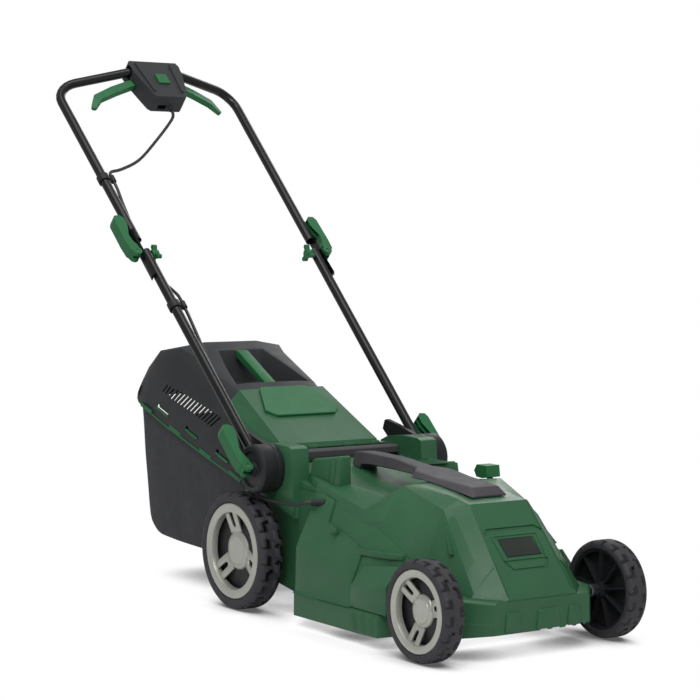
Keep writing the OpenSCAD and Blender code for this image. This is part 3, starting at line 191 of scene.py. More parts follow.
def add_lamp(name, place, size, watts):
    """Soft rectangular lamp that faces the machine."""
    data = bpy.data.lights.new(name, "AREA")
    data.shape = "RECTANGLE"
    data.size, data.size_y = size
    data.energy = watts
    lamp = bpy.data.objects.new(name, data)
    lamp.matrix_world = look_from(place, CENTRE - place)
    scene.collection.objects.link(lamp)


CENTRE = mm(0, 500, 300)
make_sky(0.50)
make_floor()
add_lamp("key lamp", mm(-1500, -1500, 2600), (1.6, 1.6), 52)
add_lamp("top lamp", mm(-300, 300, 3000), (2.4, 1.2), 31)
add_lamp("rear lamp", mm(2200, 2300, 1900), (0.8, 2.0), 12)
print("studio ready")

# %% [markdown]
# ## Finishes
# Every finish here is procedural. The base is one Principled shader whose constant values
# sit on its own sockets. Noise on object coordinates, scaled in real millimetres, varies the
# colour and roughness a little, as moulding, handling and dust do, and a finer noise drives
# the bump that gives each surface its grain.

# %% Material builder
def linear(code):
    """Linear colour from a hex code."""
    parts = [int(code[i:i + 2], 16) / 255 for i in (1, 3, 5)]
    return [c / 12.92 if c <= 0.04045 else ((c + 0.055) / 1.055) ** 2.4 for c in parts]


def noise_mm(tree, size, detail=3.0, rough=0.55):
    """Noise whose features are about size millimetres across."""
    place = add_node(tree, "ShaderNodeTexCoord")
    noise = add_node(tree, "ShaderNodeTexNoise")
    noise.inputs["Scale"].default_value = 1000 / size
    noise.inputs["Detail"].default_value = detail
    noise.inputs["Roughness"].default_value = rough
    tree.links.new(place.outputs["Object"], noise.inputs["Vector"])
    return noise.outputs["Fac"]


def spread(tree, fac, low, high):
    """Maps a 0.3 to 0.7 noise to the range low to high."""
    ramp = add_node(tree, "ShaderNodeMapRange")
    ramp.inputs["From Min"].default_value = 0.3
    ramp.inputs["From Max"].default_value = 0.7
    ramp.inputs["To Min"].default_value = low
    ramp.inputs["To Max"].default_value = high
    tree.links.new(fac, ramp.inputs["Value"])
    return ramp.outputs["Result"]


def make_finish(name, colour, roughness, metallic=0.0, tone=0.10, patch=60, grain=0.5,
                grain_depth=0.02, uneven=0.05, specular=0.5):
    """Principled finish. tone is the share by which its colour varies over patches of patch
    mm, grain the size of its surface grain in mm and grain_depth its height in mm."""
    material = bpy.data.materials.new(name)
    material.use_nodes = True
    tree = material.node_tree
    shader = tree.nodes["Principled BSDF"]
    base = linear(colour)
    shader.inputs["Metallic"].default_value = metallic
    shader.inputs["Specular IOR Level"].default_value = specular
    blotch = noise_mm(tree, patch, 4.0)
    mix = add_node(tree, "ShaderNodeMix", data_type="RGBA")
    mix.inputs["A"].default_value = (*[c * (1 - tone) for c in base], 1)
    mix.inputs["B"].default_value = (*[min(1, c * (1 + tone)) for c in base], 1)
    tree.links.new(spread(tree, blotch, 0, 1), mix.inputs["Factor"])
    tree.links.new(mix.outputs["Result"], shader.inputs["Base Color"])
    wipe = noise_mm(tree, patch * 0.4, 5.0)
    tree.links.new(spread(tree, wipe, roughness - uneven, roughness + uneven),
                   shader.inputs["Roughness"])
    bump = add_node(tree, "ShaderNodeBump")
    bump.inputs["Strength"].default_value = 1.0
    bump.inputs["Distance"].default_value = grain_depth / 1000
    tree.links.new(noise_mm(tree, grain, 2.0), bump.inputs["Height"])
    tree.links.new(bump.outputs["Normal"], shader.inputs["Normal"])
    return material


# %% [markdown]
# The colours are written as they look in plain light. The badge has a finish of its own, and
# every other part takes the one that the record names for it.

# %% The mower's finishes
finishes = {
    "green_plastic": make_finish("moulded green", "#2d573b", 0.36, grain=1.1, grain_depth=0.004,
                                 tone=0.05, uneven=0.04, specular=0.24),
    "bright_green_plastic": make_finish("bright green", "#226039", 0.42, grain=1.0,
                                        grain_depth=0.004, tone=0.05, specular=0.25),
    "grey_plastic": make_finish("grained grey", "#434144", 0.60, grain=0.9, grain_depth=0.02,
                                tone=0.06, specular=0.25),
    "charcoal_plastic": make_finish("grained charcoal", "#2e2f31", 0.50, grain=0.9,
                                    grain_depth=0.012, tone=0.06, specular=0.25),
    "black_plastic": make_finish("black moulded", "#1f2022", 0.46, grain=0.9, grain_depth=0.008,
                                 specular=0.25),
    "black_tube": make_finish("black lacquer", "#101112", 0.24, grain=8, grain_depth=0.002,
                              uneven=0.03, specular=0.3),
    "tyre_rubber": make_finish("tyre rubber", "#343337", 0.60, grain=0.9, grain_depth=0.02,
                               patch=25, tone=0.10, specular=0.25),
    "silver_trim": make_finish("silver lacquer", "#a8a9a1", 0.32, metallic=0.55, grain=0.8,
                               grain_depth=0.006, tone=0.05),
    "zinc_steel": make_finish("zinc plate", "#b9bcc0", 0.35, metallic=1.0, grain=1.5,
                              grain_depth=0.006),
    "plated_steel": make_finish("dull plate", "#8d9094", 0.4, metallic=1.0, grain=1.2,
                                grain_depth=0.006),
    "black_steel": make_finish("black steel", "#2a2b2c", 0.4, metallic=0.3, grain=1.0,
                               grain_depth=0.01),
    "copper_winding": make_finish("lacquered copper", "#a5642f", 0.35, metallic=0.9, grain=1.2,
                                  grain_depth=0.2),
    "badge": make_finish("badge enamel", "#252b27", 0.42, grain=1.0, grain_depth=0.004,
                         specular=0.25),
    "cable_rubber": make_finish("cable sheath", "#1f2022", 0.5, grain=0.6, grain_depth=0.01),
    "bag_mesh": make_finish("bag mesh", "#2a2b2f", 0.75, grain=1.2, grain_depth=0.2),
}
slot_of = {part["node"]: part["material_slot"] for part in frame["record"]["subparts"]}
for name, obj in nodes.items():
    obj.data.materials.clear()
    obj.data.materials.append(finishes["badge" if name == "badge_plate" else slot_of[name]])
print("finishes:", len(finishes))

# %% [markdown]
# Moulded parts never have knife edges. The engineering solids do, so each hard one that
# stays in view gets its loose triangles welded and its edges rounded by modifiers, which
# leave the solid itself alone.

# %% Round the edges of the solids that stay
def add_bevel(obj, width, segments, angle):
    """Rounds the edges sharper than angle degrees by width mm."""
    bevel = obj.modifiers.new("round edges", "BEVEL")
    bevel.width = width / 1000
    bevel.segments = segments
    bevel.limit_method = "ANGLE"
    bevel.angle_limit = math.radians(angle)


def smooth_by_angle(obj, angle):
    """Smooth shading that stays crisp at edges sharper than angle degrees."""
    obj.data.shade_smooth()
    obj.data.set_sharp_from_angle(angle=math.radians(angle))


SOFT_EDGES = {      # rounding in mm
    "carry_handle": 1.5, "rear_crossbar": 1.2, "pivot_brackets": 1.5, "bag_grip": 1.5,
    "flap_grip": 1.5, "switch_box": 1.5, "switch_cover": 2.0, "height_knob": 2.5,
    "start_button": 1.6, "height_lever": 0.5,
    "base_lever_left": 2.2, "base_lever_right": 2.2, "fold_lever_left": 2.2,
    "fold_lever_right": 2.2, "bail_left": 1.8, "bail_right": 1.8, "flap_panel": 1.6,
    "wing_nut_left": 0.8, "wing_nut_right": 0.8, "handle_knuckles": 0.8,
    "cable_clip_lower": 0.6, "cable_clip_upper": 0.6, "badge_plate": 0.6,
}
for node, width in SOFT_EDGES.items():
    weld = nodes[node].modifiers.new("weld", "WELD")
    weld.merge_threshold = 0.00001
    add_bevel(nodes[node], width, segments=3, angle=30)
print("softened", len(SOFT_EDGES))

# %% [markdown]
# ## Tools for the shapes
# Turned parts, such as tyres and caps, are one outline spun about the wheel's axle. Slots
# and grooves are cut with a Boolean on a welded copy of the engineering solid, after its
# edges are rounded, and the result takes the solid's place.

# %% Pieces, turned shapes, blocks and plates
body_of = {node: body for body, members in frame["record"]["behaviour"]["bodies"].items()
           for node in members}
print("bodies known for", len(body_of), "nodes")


def as_piece(name, bm, slot, body):
    """Makes the bmesh one piece that rides on the body and has the slot's finish."""
    mesh = bpy.data.meshes.new(name)
    bm.to_mesh(mesh)
    bm.free()
    mesh.materials.append(finishes[slot])
    piece = bpy.data.objects.new(name, mesh)
    scene.collection.objects.link(piece)
    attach(piece, body)
    return piece


def turn_about_x(bm, outline, steps):
    """Adds a solid of revolution about X from a closed outline of (radius, x) in mm."""
    corners = [bm.verts.new((x / 1000, 0, radius / 1000)) for radius, x in outline]
    edges = [bm.edges.new((a, b)) for a, b in zip(corners, corners[1:] + corners[:1])]
    bmesh.ops.spin(bm, geom=corners + edges, cent=(0, 0, 0), axis=(1, 0, 0),
                   angle=math.tau, steps=steps, use_merge=True)
    bmesh.ops.remove_doubles(bm, verts=bm.verts, dist=1e-6)
    bmesh.ops.recalc_face_normals(bm, faces=bm.faces)


def round_edges(bm, made, round_by, segments):
    """Rounds every edge of the new vertices by round_by mm and returns what is there now."""
    edges = list({e for v in made for e in v.link_edges})
    result = bmesh.ops.bevel(bm, geom=edges, offset=round_by / 1000, affect="EDGES",
                             segments=segments, profile=0.5, material=-1)
    return list({v for f in result["faces"] for v in f.verts} | {v for v in made if v.is_valid})


def block(bm, low, high, turn=None, taper=None, round_by=0.0, segments=2, place=None):
    """Box between two corners in metres, turned about its middle, then set in a place."""
    made = bmesh.ops.create_cube(bm, size=1)["verts"]
    bmesh.ops.scale(bm, vec=high - low, verts=made)
    if taper:
        top = [v for v in made if v.co.z > 0]
        bmesh.ops.scale(bm, vec=(taper[0], taper[1], 1), verts=top)
    if round_by:
        made = round_edges(bm, made, round_by, segments)
    if turn is not None:
        bmesh.ops.transform(bm, matrix=turn, verts=made)
    bmesh.ops.translate(bm, vec=(low + high) / 2, verts=made)
    if place is not None:
        bmesh.ops.transform(bm, matrix=place, verts=made)
    return made


def plate(bm, outline, low, high, place, round_by):
    """Flat plate of an outline of (a, b) mm, from low to high mm along the third axis."""
    corners = [bm.verts.new(metres(a, b, low)) for a, b in outline]
    base = bm.faces.new(corners)
    grown = bmesh.ops.extrude_face_region(bm, geom=[base], use_keep_orig=True)
    top = [g for g in grown["geom"] if isinstance(g, bmesh.types.BMVert)]
    bmesh.ops.translate(bm, vec=metres(0, 0, high - low), verts=top)
    made = round_edges(bm, corners + top, round_by, 2)
    bmesh.ops.transform(bm, matrix=place, verts=made)


def solid_of(bm, points, round_by=0.0):
    """Convex solid through the points, its creases rounded by round_by mm if given."""
    corners = [bm.verts.new(p) for p in points]
    made = bmesh.ops.convex_hull(bm, input=corners)
    for extra in made["geom_interior"]:
        if isinstance(extra, bmesh.types.BMVert) and extra.is_valid:
            bm.verts.remove(extra)
    faces = [g for g in made["geom"] if isinstance(g, bmesh.types.BMFace)]
    edges = list({e for f in faces for e in f.edges})
    merged = bmesh.ops.dissolve_limit(bm, angle_limit=0.02, edges=edges,
                                      verts=list({v for f in faces for v in f.verts}))
    if round_by:
        edges = list({e for f in merged["region"] for e in f.edges})
        bmesh.ops.bevel(bm, geom=edges, offset=round_by / 1000, affect="EDGES",
                        segments=2, profile=0.5, material=-1)


# %% [markdown]
# A carved part starts as a copy of an engineering solid. Its loose triangles are merged, its
# edges are rounded, and the cutter's shape is taken out of it.

# %% Carved shapes
def finish_cut(copy, cutter, node, slot, name):
    """Cuts the cutter out of the copy, applies its modifiers and lets it replace the node."""
    tool_mesh = bpy.data.meshes.new("cutter")
    cutter.to_mesh(tool_mesh)
    cutter.free()
    tool = bpy.data.objects.new("cutter", tool_mesh)
    scene.collection.objects.link(tool)
    cut = copy.modifiers.new("cut", "BOOLEAN")
    cut.operation = "DIFFERENCE"
    cut.solver = "EXACT"
    cut.use_self = True
    cut.object = tool
    graph = bpy.context.evaluated_depsgraph_get()
    done = bpy.data.meshes.new_from_object(copy.evaluated_get(graph))
    bpy.data.objects.remove(copy)
    bpy.data.objects.remove(tool)
    piece = bpy.data.objects.new(name, done)
    done.materials.clear()
    done.materials.append(finishes[slot])
    scene.collection.objects.link(piece)
    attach(piece, body_of[node])
    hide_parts(node)
    print(piece.name, "faces", len(done.polygons))
    return piece


def carve(node, cutter, slot, round_by, segments=2, angle=30, reshape=None):
    """Copy of an engineering solid, reshaped and rounded, less the cutter's shape."""
    copy = bpy.data.objects.new(node + "_copy", nodes[node].data.copy())
    scene.collection.objects.link(copy)
    bm = bmesh.new()
    bm.from_mesh(copy.data)
    bmesh.ops.remove_doubles(bm, verts=bm.verts, dist=2e-6)
    flat = [e for e in bm.edges if len(e.link_faces) == 2 and e.calc_face_angle(1) < 0.002]
    bmesh.ops.dissolve_edges(bm, edges=flat, use_verts=True)
    if reshape:
        reshape(bm)
    bm.to_mesh(copy.data)
    bm.free()
    add_bevel(copy, round_by, segments, angle)
    return finish_cut(copy, cutter, node, slot, node + "_moulding")


# %% [markdown]
# ## Wheels
# Each wheel has a solid rubber tyre with a smooth sidewall and a shallow block tread, a
# black rim and a dished silver trim. The tyre is one outline spun about the wheel's axle.
# Faces that belong to a groove are then pressed in, so the tread is real geometry.

# %% Tyres
BEAD = 0.82             # the tyre's inner radius as a share of the wheel's
TREAD_STEPS = 8         # steps of the spin in one repeat of the tread
GROOVE_DEPTH = 0.0012   # metres


def wheel_sizes(node):
    """Middle, radius and half width in mm, and the outward side, from the tyre's box."""
    low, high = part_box(node)
    centre = middle(node)
    return centre, (high.z - low.z) * 500, (high.x - low.x) * 500, 1 if centre.x > 0 else -1


def set_in_place(bm, centre, side):
    """Moves a wheel piece from the origin to its wheel, mirrored on the right-hand side."""
    if side < 0:
        bmesh.ops.scale(bm, vec=(-1, 1, 1), verts=bm.verts)
    bmesh.ops.recalc_face_normals(bm, faces=bm.faces)
    bmesh.ops.translate(bm, vec=centre, verts=bm.verts)


def in_groove(face, radius, half, step):
    """Whether a face of the spun tyre belongs to the tread's grooves."""
    at = face.calc_center_median() * 1000
    far, off = math.hypot(at.y, at.z), abs(at.x)
    place = int(round((math.atan2(at.y, at.z) % math.tau) / step - 0.5)) % TREAD_STEPS
    if at.x <= 0:       # the two halves of the tread are half a repeat apart
        place = (place + TREAD_STEPS // 2) % TREAD_STEPS
    shoulder = far > radius - 3.6 and off > half - 8.6
    rail = far > radius - 0.5 and half - 13 < off < half - 8.4
    block_row = far > radius - 0.5 and 2 < off < half - 13
    return (rail and place in (1, 2, 3, 4)) or (shoulder and place == 1) \
        or (block_row and place == 5)


def make_tyre(node):
    """Spins the tyre's outline, then presses in the faces of the tread's grooves."""
    centre, radius, half, side = wheel_sizes(node)
    bead = radius * BEAD + 0.3
    outer = [(bead, half - 3), (bead + 1.6, half - 1.0), (radius - 9, half - 0.2),
             (radius - 5, half - 1.4), (radius - 1.6, half - 4.5), (radius - 0.2, half - 8.5),
             (radius, half - 13), (radius, 2)]
    outline = outer + [(far, -x) for far, x in reversed(outer)]
    steps = round(radius * 0.21) * TREAD_STEPS
    bm = bmesh.new()
    turn_about_x(bm, outline, steps)
    pressed = [f for f in bm.faces if in_groove(f, radius, half, math.tau / steps)]
    grown = bmesh.ops.extrude_face_region(bm, geom=pressed)
    for vert in [g for g in grown["geom"] if isinstance(g, bmesh.types.BMVert)]:
        far = math.hypot(vert.co.y, vert.co.z)
        share = (far - GROOVE_DEPTH) / far
        vert.co.y *= share
        vert.co.z *= share
    set_in_place(bm, centre, side)
    print(node, "faces", len(bm.faces), "open edges", sum(not e.is_manifold for e in bm.edges))
    tyre = as_piece(node + "_tread", bm, "tyre_rubber", body_of[node])
    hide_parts(node)
    smooth_by_angle(tyre, 32)


# %% [markdown]
# The trim is a dished ring. Three forked spokes slope down from its inner wall to a hub cap
# that lies well below the face of the wheel. Behind it the black rim closes the wheel with a
# web, so the windows between the spokes read dark.

# %% Trims and rims
FRONT_SPOKES, REAR_SPOKES = 15, 49      # degrees by which the wheels stand turned
SEAT = 9            # how far the trim's seat lies inside the tyre's side, mm
RIBS = 9
FORK = [(0.30, -0.165), (0.68, -0.180), (0.68, -0.055), (0.43, -0.047), (0.39, 0),
        (0.43, 0.047), (0.68, 0.055), (0.68, 0.180), (0.30, 0.165)]     # shares of the radius


def make_rim(node):
    """Black drum, sloping web, hub tube and inner ribs."""
    centre, radius, half, side = wheel_sizes(node.replace("_rim", "_tyre"))
    bead, face = radius * BEAD, half - SEAT
    bm = bmesh.new()
    turn_about_x(bm, [(bead + 0.2, 4 - half), (bead + 0.2, face - 1), (bead - 4, face - 1),
                      (bead - 4, 4 - half)], 72)
    turn_about_x(bm, [(bead - 3.5, face - 15), (bead - 3.5, face - 12), (13.6, face - 9),
                      (13.6, face - 13)], 72)
    turn_about_x(bm, [(14, 1 - half), (14, face - 6), (6.3, face - 6), (6.3, 1 - half)], 36)
    for k in range(RIBS):
        turn = Matrix.Rotation(math.tau * k / RIBS, 4, "X")
        made = block(bm, metres(4 - half, -1.2, 13), metres(face - 13, 1.2, bead - 3.6))
        bmesh.ops.transform(bm, matrix=turn, verts=made)
    set_in_place(bm, centre, side)
    rim = as_piece(node + "_web", bm, "black_plastic", body_of[node])
    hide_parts(node)
    smooth_by_angle(rim, 30)


def add_spoke(bm, angle, radius, face, cap):
    """One forked spoke that slopes up from the hub to the ring, and its pit in the cap."""
    along = Vector((0, math.sin(angle), -math.cos(angle)))
    across = Vector((0, math.cos(angle), math.sin(angle)))
    turned = Matrix((along, across, Vector((1, 0, 0)))).transposed().to_4x4()
    root = FORK[0][0]
    lift = Matrix.Translation(metres(face - 8, 0, 0))
    shift = Matrix.Translation(metres(radius * root, 0, 0))
    tilt = Matrix.Rotation(-math.atan2(10, radius * 0.38), 4, "Y")
    plate(bm, [((a - root) * radius, b * radius) for a, b in FORK], -3.2, 0.8,
          lift @ turned @ shift @ tilt, 0.9)
    pit = bmesh.ops.create_cone(bm, cap_ends=True, segments=14, radius1=0.0024,
                                radius2=0.0018, depth=0.0016)["verts"]
    bmesh.ops.rotate(bm, cent=(0, 0, 0), matrix=Matrix.Rotation(math.pi / 2, 3, "Y"), verts=pit)
    bmesh.ops.translate(bm, vec=metres(face - 5.6, 0, 0) + along * cap * 0.00087, verts=pit)


def make_trim(node):
    """Dished silver ring, recessed hub cap and three spokes."""
    centre, radius, half, side = wheel_sizes(node.replace("_trim", "_tyre"))
    face = half - SEAT
    ring, inner, cap = radius * 0.815, radius * 0.655, radius * 0.33
    bm = bmesh.new()
    turn_about_x(bm, [(ring, face - 1), (ring, face + 6.4), (ring - 1.4, face + 7.6),
                      (inner + 3.2, face + 7.2), (inner + 0.9, face + 6.2), (inner, face + 4.2),
                      (inner - 0.8, face - 6), (inner + 1.4, face - 6), (inner + 2.6, face - 1)], 96)
    turn_about_x(bm, [(0.01, face - 7.5), (cap, face - 12), (cap, face - 8.4),
                      (cap * 0.95, face - 6.4), (cap * 0.80, face - 4.6), (cap * 0.77, face - 4.4),
                      (cap * 0.75, face - 5.0), (cap * 0.72, face - 5.0), (cap * 0.70, face - 4.3),
                      (0.01, face - 4)], 64)
    first = REAR_SPOKES if node.startswith("rear") else FRONT_SPOKES
    for k in range(3):
        add_spoke(bm, math.radians(first + 120 * k), radius, face, cap)
    set_in_place(bm, centre, side)
    trim = as_piece(node + "_dish", bm, "silver_trim", body_of[node])
    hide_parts(node)
    smooth_by_angle(trim, 26)


for node in list(nodes):
    if node.endswith("_tyre"):
        make_tyre(node)
    elif node.endswith("_rim"):
        make_rim(node)
    elif node.endswith("_trim"):
        make_trim(node)

# %% [markdown]
# The hub caps are recessed, so the axles are trimmed to end just under them.

# %% Axle ends
TRIM_AT, TRIM_REACH = 0.206, metres(7.4, 20, 20)    # middle and half size of the part cut off
for node in ("front_axle", "rear_axle"):
    cutter = bmesh.new()
    low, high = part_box(node)
    for side in (-1, 1):
        block(cutter, Vector((side * TRIM_AT, low.y, low.z)) - TRIM_REACH,
              Vector((side * TRIM_AT, high.y, high.z)) + TRIM_REACH)
    carve(node, cutter, "plated_steel", round_by=0.4)

# %% [markdown]
# ## Grass bag: the hard top
# The top is one thin blow-moulded cover. It has a row of slanted vents on each side, three
# clip slots where the green edge trim hooks in, and a thin trim line along its hem. The
# vents and slots are cut through the wall, so air could really leave the bag.

# %% Vents and clip slots
VENT_FIRST, VENT_LAST = (924, 372), (754, 320)      # middles of the end vents, y and z in mm
VENTS, SHORT_VENTS = 17, 3
CLIP_SLOTS = [(927.5, 326.6), (816.3, 292.9), (704.5, 258.3)]       # y and z of their middles
VENT_TURN = Matrix.Rotation(math.radians(49), 4, "X")
HEM_TURN = Matrix.Rotation(math.atan2(130.4, 399.6), 4, "X")        # the hem's slope
cutter = bmesh.new()
for side in (-1, 1):
    for i in range(VENTS):
        share = i / (VENTS - 1)
        y = VENT_FIRST[0] + (VENT_LAST[0] - VENT_FIRST[0]) * share
        z = VENT_FIRST[1] + (VENT_LAST[1] - VENT_FIRST[1]) * share
        reach = 11 if i < SHORT_VENTS else 15
        block(cutter, mm(side * 140 - 18, y - 1.9, z - reach),
              mm(side * 140 + 18, y + 1.9, z + reach), turn=VENT_TURN)
    for y, z in CLIP_SLOTS:
        block(cutter, mm(side * 145 - 9, y - 24, z - 3.2), mm(side * 145 + 9, y + 24, z + 3.2),
              turn=HEM_TURN)
        block(cutter, mm(side * 145 - 9, y + 15, z + 1), mm(side * 145 + 9, y + 24, z + 13),
              turn=HEM_TURN)
    block(cutter, mm(side * 138 - 12, 1019, 352), mm(side * 138 + 12, 1037, 372),
          turn=HEM_TURN)
bag_cover = carve("bag_top", cutter, "charcoal_plastic", round_by=3.2, segments=3)
smooth_by_angle(bag_cover, 28)

# %% [markdown]
# The green trim runs in a groove along the hem and shows as a thin line with a few thicker
# clips. It is a small square section, extruded from point to point along the hem.

# %% Green hem trim
HEM = [(143.4, 613, 213), (145.2, 720.5, 243.6), (146.4, 747, 251.6), (146.4, 880.8, 291.6),
       (146.2, 907, 298.6), (143.6, 965.2, 317), (142.6, 1005.5, 330), (139.6, 1030, 340.5)]
HEM_CLIPS = [(987, 325), (875, 290), (760.5, 255.75), (654, 224.25)]    # y and z of their middles


def strip(bm, path, wide, high):
    """Bar of wide x high mm along the path, as one face extruded from point to point."""
    at = mm(*path[0])
    corners = [bm.verts.new(at + Vector((dx * wide / 2000, 0, dz * high / 2000)))
               for dx, dz in ((-1, -1), (1, -1), (1, 1), (-1, 1))]
    end = bm.faces.new(corners)
    for a, b in zip(path, path[1:]):
        grown = bmesh.ops.extrude_face_region(bm, geom=[end], use_keep_orig=(a == path[0]))
        end = [g for g in grown["geom"] if isinstance(g, bmesh.types.BMFace)][0]
        bmesh.ops.translate(bm, vec=mm(*b) - mm(*a), verts=end.verts)


trim = bmesh.new()
for side in (-1, 1):
    strip(trim, [(side * x, y, z) for x, y, z in HEM], 2.6, 3.4)
    for y, z in HEM_CLIPS:
        block(trim, mm(side * 145.2 - 2, y - 22, z - 0.8), mm(side * 145.2 + 2, y + 22, z + 6.4),
              turn=HEM_TURN, round_by=0.8)
    for y, z in CLIP_SLOTS:
        block(trim, mm(side * 143.4 - 2.2, y - 23, z - 3), mm(side * 143.4 + 2.2, y + 23, z + 0.6),
              turn=HEM_TURN, round_by=0.6)
bmesh.ops.recalc_face_normals(trim, faces=trim.faces)
as_piece("bag_hem_trim", trim, "bright_green_plastic", "bag")

# %% [markdown]
# ## Grass bag: the fabric
# A coarse woven mesh, sewn to the hem of the hard top, open at the mouth and stiffened by a
# wire at the front and a folded seam at the bottom corner. It hangs in shallow upright
# folds and is pulled in a little between the hem and the bottom. The shell is bridged from
# U-shaped outlines, one behind the other, then moved point by point to sag.

# %% Bag fabric
BAG_Y, BAG_LEN = 612.3, 433.0       # front of the bag and its length, mm
REAR_SHARE = 0.87                   # share of the length at which the rear wall starts
STATIONS = [0.0063, 0.05] + [0.1 + 0.05 * k for k in range(16)] \
    + [0.875, 0.89, 0.905, 0.918, 0.93, 0.94, 0.947]
FABRIC_ROWS = [   # share of the bag's length, then half width and height from the floor up
    (0.0063, [(60, 96), (124, 97), (137, 112), (140, 150), (140.3, 217)]),
    (0.18, [(60, 75), (126, 76), (139, 92), (140.5, 150), (141, 236)]),
    (0.388, [(60, 70), (126, 71), (139, 88), (141, 150), (141.2, 260)]),
    (0.62, [(60, 73), (126, 74), (138.6, 91), (140.6, 158), (140.6, 290)]),
    (0.80, [(60, 78), (126, 79), (138, 96), (140, 170), (140, 314)]),
    (0.875, [(60, 94), (120, 96), (132, 116), (137, 180), (138.6, 325)]),
    (0.905, [(60, 150), (118, 152), (130, 175), (134.5, 225), (138, 329)]),
    (0.93, [(60, 236), (117, 238), (129, 250), (133, 280), (136, 333)]),
    (0.947, [(60, 310), (116, 312), (127, 316), (131, 326), (134.6, 336)]),
]


def blend_rows(share):
    """Half outline at a share of the bag's length, between the two nearest rows."""
    for (s0, a), (s1, b) in zip(FABRIC_ROWS, FABRIC_ROWS[1:]):
        if share <= s1:
            t = max(0.0, (share - s0) / (s1 - s0))
            return [(x0 + (x1 - x0) * t, z0 + (z1 - z0) * t) for (x0, z0), (x1, z1) in zip(a, b)]
    return FABRIC_ROWS[-1][1]


def half_outline(share):
    """Points from the middle of the bottom to the hem, closer together at the corner."""
    a, b, c, d, e = blend_rows(share)
    points = [(a[0] * k / 4, a[1]) for k in range(5)]
    points += [(a[0] + (b[0] - a[0]) * k / 5, a[1] + (b[1] - a[1]) * k / 5) for k in range(1, 6)]
    for k in range(1, 4):           # rounded bottom corner
        t = k / 4
        points.append((b[0] * (1 - t) ** 2 + 2 * t * (1 - t) * (c[0] - 0.5) + c[0] * t * t,
                       b[1] * (1 - t) ** 2 + 2 * t * (1 - t) * (b[1] + 1) + c[1] * t * t))
    points += [(c[0] + (d[0] - c[0]) * k / 4, c[1] + (d[1] - c[1]) * k / 4) for k in range(0, 4)]
    points += [(d[0] + (e[0] - d[0]) * k / 9, d[1] + (e[1] - d[1]) * k / 9) for k in range(0, 10)]
    return points


def sag(y, z, hem, floor):
    """How far the cloth leaves its straight line, in mm: folds and the pull of the seams."""
    rise = max(0.0, min(1.0, (z - floor) / max(1.0, hem - floor)))
    free = math.sin(math.pi * rise) ** 0.8
    folds = 1.5 * math.sin(y / 17.0 + 2.1 * math.sin(z / 61.0)) + 0.8 * math.sin(y / 7.3 + z / 43.0)
    return free * (folds - 3.5)


def cloth_point(x, y, z, share, hem, floor):
    """Point of an outline with the folds, the sagging bottom and the dished rear wall."""
    pull = sag(y, z, hem, floor) if abs(x) > 100 else 0
    dip = back = 0.0
    if share < REAR_SHARE and z < floor + 3:
        dip = 2.0 * math.sin(x / 19.0) * math.sin(math.pi * min(1, share))
    if share > REAR_SHARE:
        if 90 < z < 340:
            back = -7.0 * math.sin(math.pi * (z - 90) / 250) * (1 - (abs(x) / 160) ** 2)
        back += 1.2 * math.sin(x / 13.0)
    wide = x + math.copysign(pull, x) if pull else x
    return mm(wide, y + back, z + dip)


fabric = bmesh.new()
last = None
for share in STATIONS:
    half = half_outline(share)
    hem, floor = half[-1][1], half[0][1]
    outline = [(-x, z) for x, z in reversed(half[1:])] + half
    y = BAG_Y + BAG_LEN * share
    ring = [fabric.verts.new(cloth_point(x, y, z, share, hem, floor)) for x, z in outline]
    edges = [fabric.edges.new((a, b)) for a, b in zip(ring, ring[1:])]
    if last:
        bmesh.ops.bridge_loops(fabric, edges=last + edges)
    last = edges
bmesh.ops.recalc_face_normals(fabric, faces=fabric.faces)
print("fabric faces", len(fabric.faces))
bag_cloth = as_piece("bag_fabric_mesh", fabric, "bag_mesh", "bag")
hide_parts("bag_fabric")
bag_cloth.data.shade_smooth()
thick = bag_cloth.modifiers.new("cloth thickness", "SOLIDIFY")
thick.thickness = 0.0016
thick.offset = -1
finer = bag_cloth.modifiers.new("finer", "SUBSURF")
finer.levels = finer.render_levels = 1

# %% [markdown]
# ## Motor hood
# The hood is a folded, faceted moulding: a sloping front panel with bevelled sides, a
# ridge, and a shoulder that dips into a V on each side. Its skin is bridged from one
# outline to the next, rounded along its creases and given a wall. Grooves, the lever's
# slot and the badge's seat are then cut out of it.

# %% Hood skin
HOOD_ROWS = [   # place behind the front wheels, then half width and height from the seam up
    (-61, [(74, 96.5), (73.8, 97.3), (73.2, 98.2), (71.4, 99.2), (71, 99.6), (20, 99.6)]),
    (-20, [(116, 100.4), (113, 103.5), (111, 106.5), (70.4, 147), (68, 149.2), (20, 149.2)]),
    (57, [(126, 110.4), (121, 136), (98, 196), (64.4, 238), (62, 240), (20, 240)]),
    (88, [(129, 126.0), (123, 153), (92, 230), (63, 243.4), (60, 244.6), (20, 246)]),
    (118, [(151, 158.4), (143, 174), (96, 240), (66, 250), (62, 251), (20, 252)]),
    (180, [(155, 190.4), (151, 203), (105, 260.5), (80, 261), (62, 260), (20, 260)]),
    (206, [(157, 190.0), (157, 200), (124, 238), (101, 250), (76, 258), (20, 261)]),
    (233, [(158, 196.5), (158, 198), (150, 216.5), (110, 235), (98, 238), (20, 240)]),
    (245, [(158, 199.5), (158, 201), (150.4, 219.5), (110, 236.4), (97, 237.6), (20, 239)]),
    (330, [(157.5, 219.6), (157.5, 221), (150.6, 239), (110, 246), (98, 242), (20, 238)]),
    (372, [(156.5, 230), (156.5, 231.5), (150.6, 248.6), (110, 250), (98, 248), (20, 243)]),
    (400, [(146, 236), (146, 238), (143, 253), (110, 252.6), (98, 252.6), (20, 250)]),
    (428, [(126, 242.6), (126, 244), (124.4, 254), (112, 255), (100, 256), (20, 257)]),
    (490, [(124, 254.7), (124, 256), (124, 262), (112, 265), (100, 267), (20, 271)]),
]


